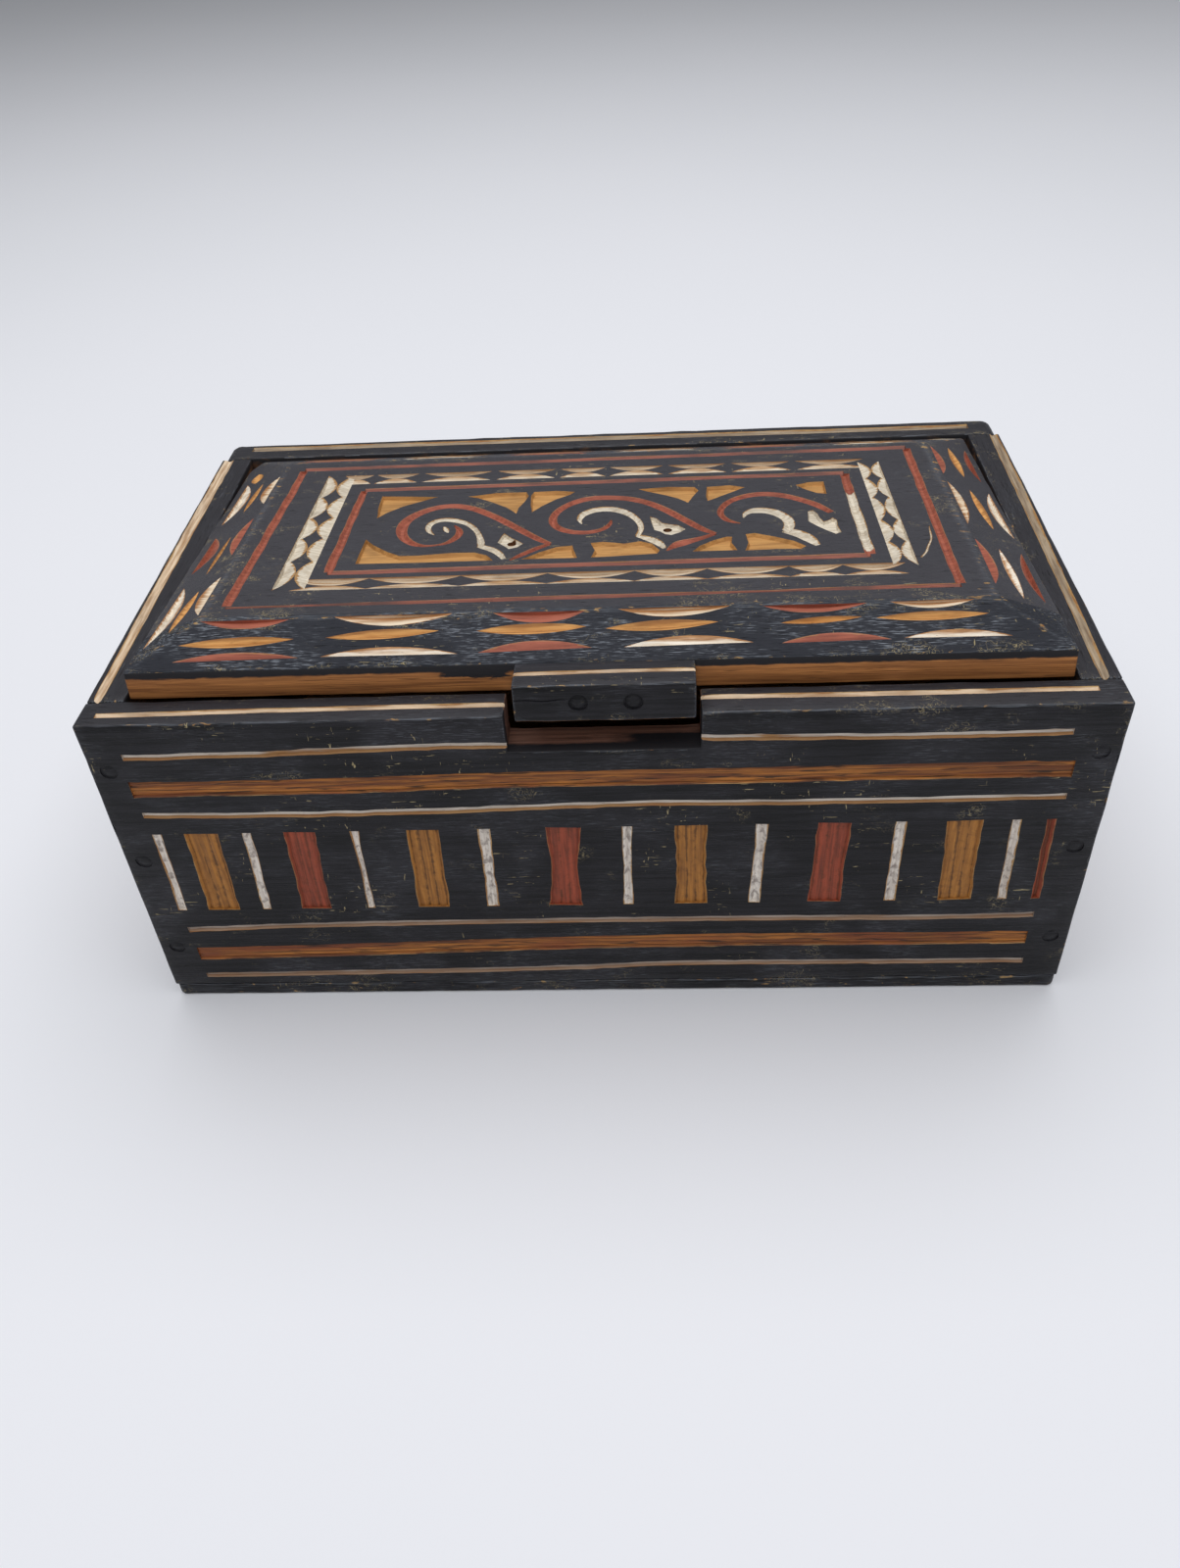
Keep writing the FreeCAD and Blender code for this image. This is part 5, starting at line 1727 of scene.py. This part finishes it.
    SCRATCH: ClassVar[tuple] = (
        (71.0, -7.8, 0.25), (70.7, -11.3, 0.4), (70.0, -14.5, 0.45), (68.5, -19.0, 0.5), (66.8, -22.2, 0.4))
    SEED: ClassVar[Chip] = Chip(ChipShape.LENS, -33.5, -2.2, turn=-68.0, length=3.8, width=1.3, depth=0.7)
    RIDGE_STRIP: ClassVar[float] = 2.2
    FRAME_STEPS: ClassVar[int] = 16

    def slope(self, spread: float = 0.0) -> tuple[float, float]:
        """Cosine and sine of the slope of a bevel that is wider than the others by spread."""
        angle = math.atan2(self.high[2] - self.rim_height, self.inset + spread)
        return math.cos(angle), math.sin(angle)

    def walls(self) -> list[tuple[Triple, float]]:
        """Outer planes: the board's six sides and the four bevels."""
        planes = super().walls()
        upright = self.rim_height - self.low[2]
        c, s = self.slope(self.draft - self.foot)
        for sign, end in ((-1.0, -self.low[0]), (1.0, self.high[0])):
            side = Vector((sign * upright, 0.0, self.foot)).normalized()
            planes.append((tuple(side), side.x * sign * end + side.z * self.low[2]))
            planes.append(((sign * s, 0.0, c), self.rim_height * c + (end - self.foot) * s))
        c, s = self.slope()
        rise = self.rim_height * c
        planes.append(((0.0, -s, c), rise - self.low[1] * s))
        planes.append(((0.0, s, c), rise + self.high[1] * s))
        return planes

    def stops(self, axis: int) -> tuple[float, ...]:
        """Places along an axis where the board has to be divided: on both sides of each ridge."""
        ridges = (self.low[axis] + self.inset, self.high[axis] - self.inset)
        return tuple(place + off for place in ridges for off in (-self.RIDGE_STRIP, self.RIDGE_STRIP))

    def blank(self) -> bmesh.types.BMesh:
        """The bevelled board, divided by a grid, before it is worn and carved."""
        bm = bmesh.new()
        rings = []
        for inset, draft, z in ((0.0, 0.0, self.low[2]), (0.0, self.foot, self.rim_height),
                                (self.inset, self.draft, self.high[2])):
            x0, x1 = self.low[0] + inset + draft, self.high[0] - inset - draft
            y0, y1 = self.low[1] + inset, self.high[1] - inset
            rings.append([bm.verts.new((x, y, z)) for x, y in ((x0, y0), (x1, y0), (x1, y1), (x0, y1))])
        bm.faces.new(rings[0][::-1])
        bm.faces.new(rings[2])
        for low, high in zip(rings, rings[1:]):
            for i in range(4):
                bm.faces.new((low[i], low[(i + 1) % 4], high[(i + 1) % 4], high[i]))
        self.ease(bm)
        for axis in range(2):
            normal = Vector((1.0 - axis, float(axis), 0.0))
            for place in self.places(axis)[1:-1]:
                whole = bm.verts[:] + bm.edges[:] + bm.faces[:]
                bmesh.ops.bisect_plane(bm, geom=whole, dist=1e-5, plane_co=normal * place, plane_no=normal)
        return bm

    def cover(self, centre: Vector, normal: Vector) -> Paint:
        """Paint of an uncut face: worn wood round the edge, bare wood below."""
        if normal.z < -FACING:
            return Paint.BARE
        return Paint.LID_EDGE if normal.z < 0.5 else self.coat

    def leaves(self) -> list[tuple[Plane, list[Leaf]]]:
        """Leaves of the four bevels, each with its plane."""
        c, s = self.slope()
        side_c, side_s = self.slope(self.draft - self.foot)
        x0, x1 = self.low[0] + self.draft + self.inset, self.high[0] - self.draft - self.inset
        y0, y1 = self.low[1] + self.inset, self.high[1] - self.inset
        z = self.high[2]
        red, white, ochre = Paint.RED, Paint.WHITE, Paint.OCHRE
        front = [
            *leaf_group(red, ochre, (-79, -0.5, -58.4, -0.4, 2.6), (-81.5, -6.8, -58, -5.8, 2.7),
                        (-82, -11, -56.5, -10.6, 1.9)),
            *leaf_group(white, ochre, (-52.4, -0.2, -26.2, -0.1, 3), (-52.4, -5.7, -29.4, -4.6, 2.6),
                        (-52.8, -10.5, -25.4, -10.6, 2.1)),
            *leaf_group(red, ochre, (-20, -0.4, 0, -0.3, 3.1), (-22.8, -5, -0.4, -4.5, 2.9),
                        (-22, -10.5, 0.4, -9.9, 2.4)),
            *leaf_group(white, ochre, (3.5, -0.1, 28.3, 0, 2.7), (2.2, -5.2, 25, -4.2, 2.8),
                        (6, -10, 31.2, -9.6, 2.3)),
            *leaf_group(red, ochre, (32, -0.4, 54.4, -0.3, 2.3), (36, -5, 52.2, -3.9, 1.7),
                        (36, -10, 57, -9.7, 2.1)),
            *leaf_group(white, ochre, (56.2, -0.1, 75, 0, 2.3), (54, -4.3, 76.2, -3.9, 2.5),
                        (59, -9.5, 79.6, -9.6, 1.9)),
        ]
        left = [
            *leaf_group(white, ochre, (-33, -0.9, -15.5, -1.2, 2.8), (-31.4, -5.5, -15, -6.4, 1.7),
                        (-35, -11, -11.5, -11.4, 3.6)),
            *leaf_group(red, ochre, (-9, -1.6, 11, -1.7, 2.7), (-2, -5.6, 17, -6.3, 1.2),
                        (-4.6, -10.6, 13.4, -11.2, 3.4)),
            *leaf_group(white, ochre, (20.4, -1.1, 38, -1.4, 2.9), (24.4, -5.4, 41.5, -7, 2.3),
                        (19.4, -10.8, 45, -11.8, 3.4)),
            Leaf(ochre, LeafEdge.NEITHER, (-40.2, -9.2), (-33.6, -8.4), 3.4),
        ]
        right = [
            *leaf_group(red, white, (-34.6, -1.2, -12.3, -1.5, 2.3), (-37.4, -6.4, -15, -6.5, 2.2),
                        (-36.4, -11.3, -14, -11.9, 2)),
            *leaf_group(white, ochre, (-6.8, -1.5, 17.7, -1.6, 2.2), (-5.5, -7.8, 15.3, -6.8, 2.1),
                        (-7.5, -12.3, 17, -12, 2.6)),
            *leaf_group(red, ochre, (20.4, -1.5, 38.3, -1.6, 2), (22.3, -7.2, 40.4, -6.8, 2.3),
                        (22.4, -11.6, 42.3, -11.8, 1.8)),
        ]
        back = []
        for i in range(6):
            x = (i - 2.5) * 26.5
            back += leaf_group((Paint.SCROLL, red)[i % 2], ochre, (x - 11, -0.4, x + 11.4, -0.5, 3.4),
                               (x - 11.6, -5.6, x + 10.8, -5.2, 2.6), (x - 12, -10.6, x + 12, -10.4, 2.2))
        back.append(Leaf(Paint.SCROLL, LeafEdge.NEITHER, (-89.2, -10.8), (-81.2, -10.4), 2.4))
        return [
            (Plane((0.0, y0, z), (1.0, 0.0, 0.0), (0.0, c, s)), front),
            (Plane((0.0, y1, z), (-1.0, 0.0, 0.0), (0.0, -c, s)), back),
            (Plane((x0, 0.0, z), (0.0, -1.0, 0.0), (side_c, 0.0, side_s)), left),
            (Plane((x1, 0.0, z), (0.0, 1.0, 0.0), (-side_c, 0.0, side_s)), right),
        ]

    def frames(self, cuts: Cuts, top: Plane) -> None:
        """Adds the two red frames, side by side of uneven width; one side of the inner one is mostly white.

        Args:
            cuts: Cuts to add to.
            top: The lid's flat top.
        """
        red, white = [Paint.RED], [Paint.SCROLL]
        plain, dull = red * self.FRAME_STEPS, [Paint.FRAME] * self.FRAME_STEPS
        outer = ((-74.2, -35.7), (72.3, -34.5), (73.4, 36.0), (-73.2, 34.4))
        inner = ((-56.2, -21.7), (56.8, -20.5), (56.8, 21.8), (-55.8, 20.8))
        widths = (((0.8, 0.9, 1.5, 1.6, 1.7, 1.4, 0.8, 1.5, 1.6), (2.0, 2.0), (2.2, 2.0), (2.0, 2.2)),
                  ((1.9, 2.1), (2.3, 2.2), (2.0, 2.0), (1.9, 2.1)))
        paints = (dull, plain, dull, plain), (dull, red + white * 11 + red * 4, dull, plain)
        for corners, wide, colours in zip((outer, inner), widths, paints):
            for side in range(4):
                start, end = np.array(corners[side]), np.array(corners[(side + 1) % 4])
                tuck = 0.01 * (side % 2)
                shares = np.linspace(tuck, 1.0 - tuck, self.FRAME_STEPS + 1)
                stops = np.linspace(0.0, 1.0, len(wide[side]))
                line = [(*(start + (end - start) * share), np.interp(share, stops, wide[side]))
                        for share in shares]
                Groove(line, colours[side], depth=0.7, floor=0.3, wobble=0.2).cut(cuts, top)

    def ornament(self, cuts: Cuts, shop: Workshop) -> None:
        """Adds the leaves, the red frames, the chip strip and the scroll panel."""
        top = Plane((0.0, 0.0, self.high[2]), (1.0, 0.0, 0.0), (0.0, 1.0, 0.0))
        for plane, leaves in self.leaves():
            for paint in (Paint.RED, Paint.WHITE, Paint.CREAM, Paint.OCHRE, Paint.SCROLL):
                chips = [leaf.chip() for leaf in leaves if leaf.paint is paint]
                shop.chips.cut(cuts, plane, chips, paint)
        for strip in self.STRIPS:
            paint = Paint.SCROLL if strip.upright else Paint.STRIP
            shop.chips.cut(cuts, top, strip.chips(), paint)
        self.frames(cuts, top)
        for curve in self.RED_CURVES:
            Groove(smoothed(curve), Paint.RED, depth=0.85, floor=0.25, wobble=0.06).cut(cuts, top)
        for curve in self.WHITE_CURVES:
            Groove(smoothed(curve), Paint.SCROLL, depth=0.9, floor=0.1, wobble=0.06).cut(cuts, top)
        for eye in self.EYES:
            Recess(eye, Paint.SCROLL, depth=0.75, slope=0.35).cut(cuts, top)
        for across, up in self.PUPILS:
            Bore(across, up, radius=1.0, depth=1.4, paint=Paint.PEG).cut(cuts, top)
        for ground in self.GROUNDS:
            Recess(ground, Paint.GROUND, depth=0.85, slope=0.4).cut(cuts, top)
        Groove(smoothed(self.SCRATCH), Paint.SCROLL, depth=0.3, wobble=0.3).cut(cuts, top)
        shop.chips.cut(cuts, top, [self.SEED], Paint.SCROLL)
        through = self.high[2] - self.low[2] + 1.0
        Recess(self.worn_corner(), Paint.LID_EDGE, depth=through, slope=0.02).cut(cuts, top)

    def worn_corner(self) -> list[tuple[float, float]]:
        """Outline of what fingers have worn off the left corner at the back."""
        x, y = self.low[0] + self.worn, self.high[1] - self.worn
        turns = [math.pi * (1.0 - i / 20) for i in range(11)]
        arc = [(x + self.worn * math.cos(turn), y + self.worn * math.sin(turn)) for turn in turns]
        side, back = self.low[0] - 1.0, self.high[1] + 1.0
        return [*arc, (x, back), (side, back), (side, y)]


# Pegs


@dataclass(frozen=True)
class Peg:
    """A wooden peg: its CAD node, the middle of its head, and the way the head faces."""

    node: str
    head: Triple
    aim: Triple
    radius: float
    length: float


class PegTree:
    """Geometry-node tree that drives a slightly irregular peg in at each point."""

    def __init__(self) -> None:
        """Builds the tree."""
        kit = GeometryKit("pegs", {
            "Dome": "NodeSocketFloat", "Whittle": "NodeSocketFloat", "Paint": "NodeSocketMaterial"})
        body = kit.node("GeometryNodeMeshCylinder", {"fill_type": "TRIANGLE_FAN"}, {
            "Vertices": 20, "Fill Segments": 4, "Radius": 1.0, "Depth": 1.0})
        spot = kit.node("GeometryNodeInputPosition", {}, {})
        flat = kit.vector("MULTIPLY", {0: spot, 1: (1.0, 1.0, 0.0)})
        away = kit.vector("LENGTH", {0: flat}, "Value")
        shift = kit.node("ShaderNodeCombineXYZ", {}, {"Z": -0.5 - away * away * kit.inputs["Dome"]})
        rough = kit.node("ShaderNodeTexNoise", {}, {"Vector": spot, "Scale": 1.7, "Detail": 1.0})
        inward = kit.vector("SCALE", {0: flat, "Scale": rough * kit.inputs["Whittle"]})
        offset = kit.vector("SUBTRACT", {0: shift, 1: inward})
        shaped = kit.node("GeometryNodeSetPosition", {}, {"Geometry": body, "Offset": offset})
        turn = kit.node("FunctionNodeAlignRotationToVector", {"axis": "Z"}, {"Vector": kit.attribute("aim")})
        kit.close(shaped, turn, kit.attribute("size"))
        self.kit = kit


@dataclass
class PegSet:
    """Pegs of one kind on one body, made as one mesh."""

    name: str
    body: str
    slot: str
    pegs: Sequence[Peg]
    paint: Paint
    dome: float = 0.02
    whittle: float = 0.10
    rubbed: float = 0.25

    CREASE: ClassVar[float] = 35.0

    def build(self, shop: Workshop, tree: PegTree) -> bpy.types.Object:
        """Makes the pegs.

        Args:
            shop: Tools and materials.
            tree: Tree that shapes the pegs.

        Returns:
            The piece.
        """
        vectors = {"aim": [peg.aim for peg in self.pegs],
                   "size": [(peg.radius, peg.radius, peg.length) for peg in self.pegs]}
        values = {"Dome": self.dome, "Whittle": self.whittle, "Paint": shop.materials[self.paint]}
        return self.dress(tree.kit.run(self.name, [peg.head for peg in self.pegs], vectors, values))

    def dress(self, mesh: bpy.types.Mesh) -> bpy.types.Object:
        """Stores what the paint reads, then puts the pegs on their body.

        Args:
            mesh: Pegs in millimetres.

        Returns:
            The piece.
        """
        store(mesh, "board", "POINT", corner_points(mesh))
        store(mesh, "wear", "POINT", np.full(len(mesh.vertices), self.rubbed))
        nodes = [peg.node for peg in self.pegs]
        return finished(mesh, self.name, self.body, self.slot, nodes, self.CREASE)


# Studio


@dataclass(frozen=True)
class Studio:
    """Pale floor, soft light from above and the camera."""

    azimuth: float = -4.174
    elevation: float = 40.284
    roll: float = -3.819
    eye: Triple = (12.463, -246.335, 219.555)
    lens: float = 28.51
    sensor: float = 36.0
    floor_size: float = 8.0
    key_power: float = 10.0
    key_size: float = 1.3
    key_place: Triple = (0.0, 0.12, 1.0)
    fill_power: float = 11.5
    fill_size: float = 1.4
    fill_place: Triple = (0.0, -1.7, 1.5)
    sky: float = 0.2
    sky_colour: Colour = (0.96, 0.98, 1.0)

    def camera(self) -> None:
        """Sets up the camera that looks at the box from above its front."""
        az, el, roll = (math.radians(value) for value in (self.azimuth, self.elevation, self.roll))
        ahead = Vector((math.sin(az) * math.cos(el), math.cos(az) * math.cos(el), -math.sin(el)))
        level_right = Vector((math.cos(az), -math.sin(az), 0.0))
        level_up = level_right.cross(ahead)
        right = level_right * math.cos(roll) + level_up * math.sin(roll)
        up = level_up * math.cos(roll) - level_right * math.sin(roll)
        data = bpy.data.cameras.new("camera")
        data.sensor_fit = "AUTO"
        data.sensor_width = self.sensor
        data.lens = self.lens
        data.clip_start = 0.01
        camera = bpy.data.objects.new("camera", data)
        turn = Matrix((right, up, -ahead)).transposed().to_4x4()
        camera.matrix_world = Matrix.Translation(Vector(self.eye) * MM) @ turn
        bpy.context.collection.objects.link(camera)
        bpy.context.scene.camera = camera

    def floor(self) -> None:
        """Lays the floor."""
        half = self.floor_size / 2
        mesh = bpy.data.meshes.new("floor")
        corners = [(-half, -half, 0.0), (half, -half, 0.0), (half, half, 0.0), (-half, half, 0.0)]
        mesh.from_pydata(corners, [], [(0, 1, 2, 3)])
        kit = ShaderKit("floor_paper")
        spot = kit.node("ShaderNodeTexCoord", {}, {}, "Object")
        grain = kit.node("ShaderNodeTexNoise", {}, {"Vector": spot, "Scale": 3.0, "Detail": 2.0})
        colour = kit.mix(grain, tone(236, 238, 244), tone(240, 241, 247))
        mesh.materials.append(kit.close(colour, 0.75 + grain * 0.1, grain, relief=0.0, shine=0.1))
        floor = bpy.data.objects.new("floor", mesh)
        bpy.context.collection.objects.link(floor)

    def lamp(self, name: str, place: Triple, size: float, power: float) -> None:
        """Hangs a square soft lamp that faces the box.

        Args:
            name: Name of the lamp.
            place: Where it hangs, in metres.
            size: Side of the square.
            power: Power in watts.
        """
        data = bpy.data.lights.new(name, "AREA")
        data.shape = "SQUARE"
        data.size = size
        data.energy = power
        lamp = bpy.data.objects.new(name, data)
        lamp.location = place
        lamp.rotation_euler = (-Vector(place)).to_track_quat("-Z", "Y").to_euler()
        bpy.context.collection.objects.link(lamp)

    def light(self) -> None:
        """Hangs a broad lamp over the box and a weak one before it, in an evenly lit room."""
        self.lamp("key", self.key_place, self.key_size, self.key_power)
        self.lamp("fill", self.fill_place, self.fill_size, self.fill_power)
        world = bpy.data.worlds.new("room")
        world.use_nodes = True
        room = world.node_tree.nodes["Background"]
        room.inputs["Color"].default_value = (*self.sky_colour, 1.0)
        room.inputs["Strength"].default_value = self.sky
        bpy.context.scene.world = world
        bpy.context.scene.view_settings.view_transform = "Standard"

    def build(self) -> None:
        """Makes the whole studio."""
        self.camera()
        self.floor()
        self.light()


# Pieces

PEG_SIDES = {"left": -96.0, "right": 96.0}
PEG_HEIGHTS = {"low": 16.5, "middle": 43.0, "high": 67.5}
CATCH_PEGS = {"left": (-2.3, 75.0), "right": (8.0, 75.0)}
PIN_Y, PIN_Z = 42.0, 75.8


def boards() -> list[Board]:
    """The boards of the box and the lid."""
    pegs = tuple((x, z) for x in PEG_SIDES.values() for z in PEG_HEIGHTS.values())
    up = (0.0, 0.0, 1.0)
    return [
        FrontWall("front_wall", "wall_paint", (-100.0, -61.0, 3.5), (100.0, -53.0, 79.0), pegs=pegs),
        BackWall("back_wall", "wall_paint", (-100.0, 53.0, 3.5), (100.0, 61.0, 79.0), pegs=pegs,
                 face=Plane((0.0, 61.0, 0.0), (-1.0, 0.0, 0.0), up)),
        SideWall("left_wall", "wall_paint", (-100.0, -53.0, 3.5), (-92.0, 53.0, 79.0), grain=1, half=49.0,
                 face=Plane((-100.0, 0.0, 0.0), (0.0, -1.0, 0.0), up), pegs=((-PIN_Y, PIN_Z),),
                 rim_line=((-98.0, 54.0, 2.9), (-98.1, 20.0, 2.7), (-97.9, -20.0, 2.4), (-97.6, -54.0, 2.0)),
                 rim_paint=Paint.RIM_LINE),
        SideWall("right_wall", "wall_paint", (92.0, -53.0, 3.5), (100.0, 53.0, 79.0), grain=1, half=49.0,
                 face=Plane((100.0, 0.0, 0.0), (0.0, 1.0, 0.0), up), pegs=((PIN_Y, PIN_Z),),
                 rim_line=((98.4, 54.0, 2.3), (98.1, 20.0, 2.4), (97.4, -20.0, 2.1), (96.6, -54.0, 1.9))),
        BaseBoard("base_board", "base_paint", (-100.0, -61.0, 0.0), (100.0, 61.0, 3.5)),
        Lid("lid_board", "lid_paint", (-91.3, -52.5, 72.6), (91.3, 52.0, 83.5), body="lid",
            coat=Paint.LID_BLACK),
        CatchBlock("catch_block", "catch_paint", (-14.7, -60.8, 70.75), (19.8, -52.2, 79.0), body="lid",
                   pegs=tuple(CATCH_PEGS.values())),
    ]


def peg_sets() -> list[PegSet]:
    """The pegs and pins of the box and the lid."""
    corner = [
        Peg(f"corner_peg_{row}_{side}_{name}", (x, y, z), (0.0, math.copysign(1.0, y), 0.0),
            radius=1.7, length=13.9)
        for row, y in (("front", -60.95), ("back", 60.95))
        for side, x in PEG_SIDES.items()
        for name, z in PEG_HEIGHTS.items()]
    pins = [
        Peg(f"pivot_pin_{side}", (sign * 99.95, PIN_Y, PIN_Z), (sign, 0.0, 0.0), radius=1.47, length=18.6)
        for side, sign in (("left", -1.0), ("right", 1.0))]
    catch = [
        Peg(f"catch_peg_{side}", (x, -60.75, z), (0.0, -1.0, 0.0), radius=1.66, length=19.9)
        for side, (x, z) in CATCH_PEGS.items()]
    spots = {node: [(a + b) / 2 / MM for a, b in zip(*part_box(node))]
             for node in frame["nodes"] if node.startswith("base_peg")}
    base = [
        Peg(node, (spot[0], spot[1], 0.25), (0.0, 0.0, -1.0), radius=1.47, length=8.0)
        for node, spot in spots.items()]
    return [
        PegSet("corner_pegs", "box", "peg_wood", corner, Paint.WALL_BLACK),
        PegSet("base_pegs", "box", "peg_wood", base, Paint.PEG),
        PegSet("pivot_pins", "box", "pin_wood", pins, Paint.WALL_BLACK),
        PegSet("catch_pegs", "lid", "peg_wood", catch, Paint.WALL_BLACK),
    ]


def main() -> None:
    """Builds the box piece by piece."""
    logging.basicConfig(level=logging.INFO, format="%(name)s: %(message)s")
    Studio().build()
    materials = {paint: finish.material(paint.value) for paint, finish in FINISHES.items()}
    shop = Workshop(materials, ChipTree(materials))
    for board in boards():
        board.build(shop)
    tree = PegTree()
    for pegs in peg_sets():
        pegs.build(shop, tree)


if __name__ == "__main__":
    main()
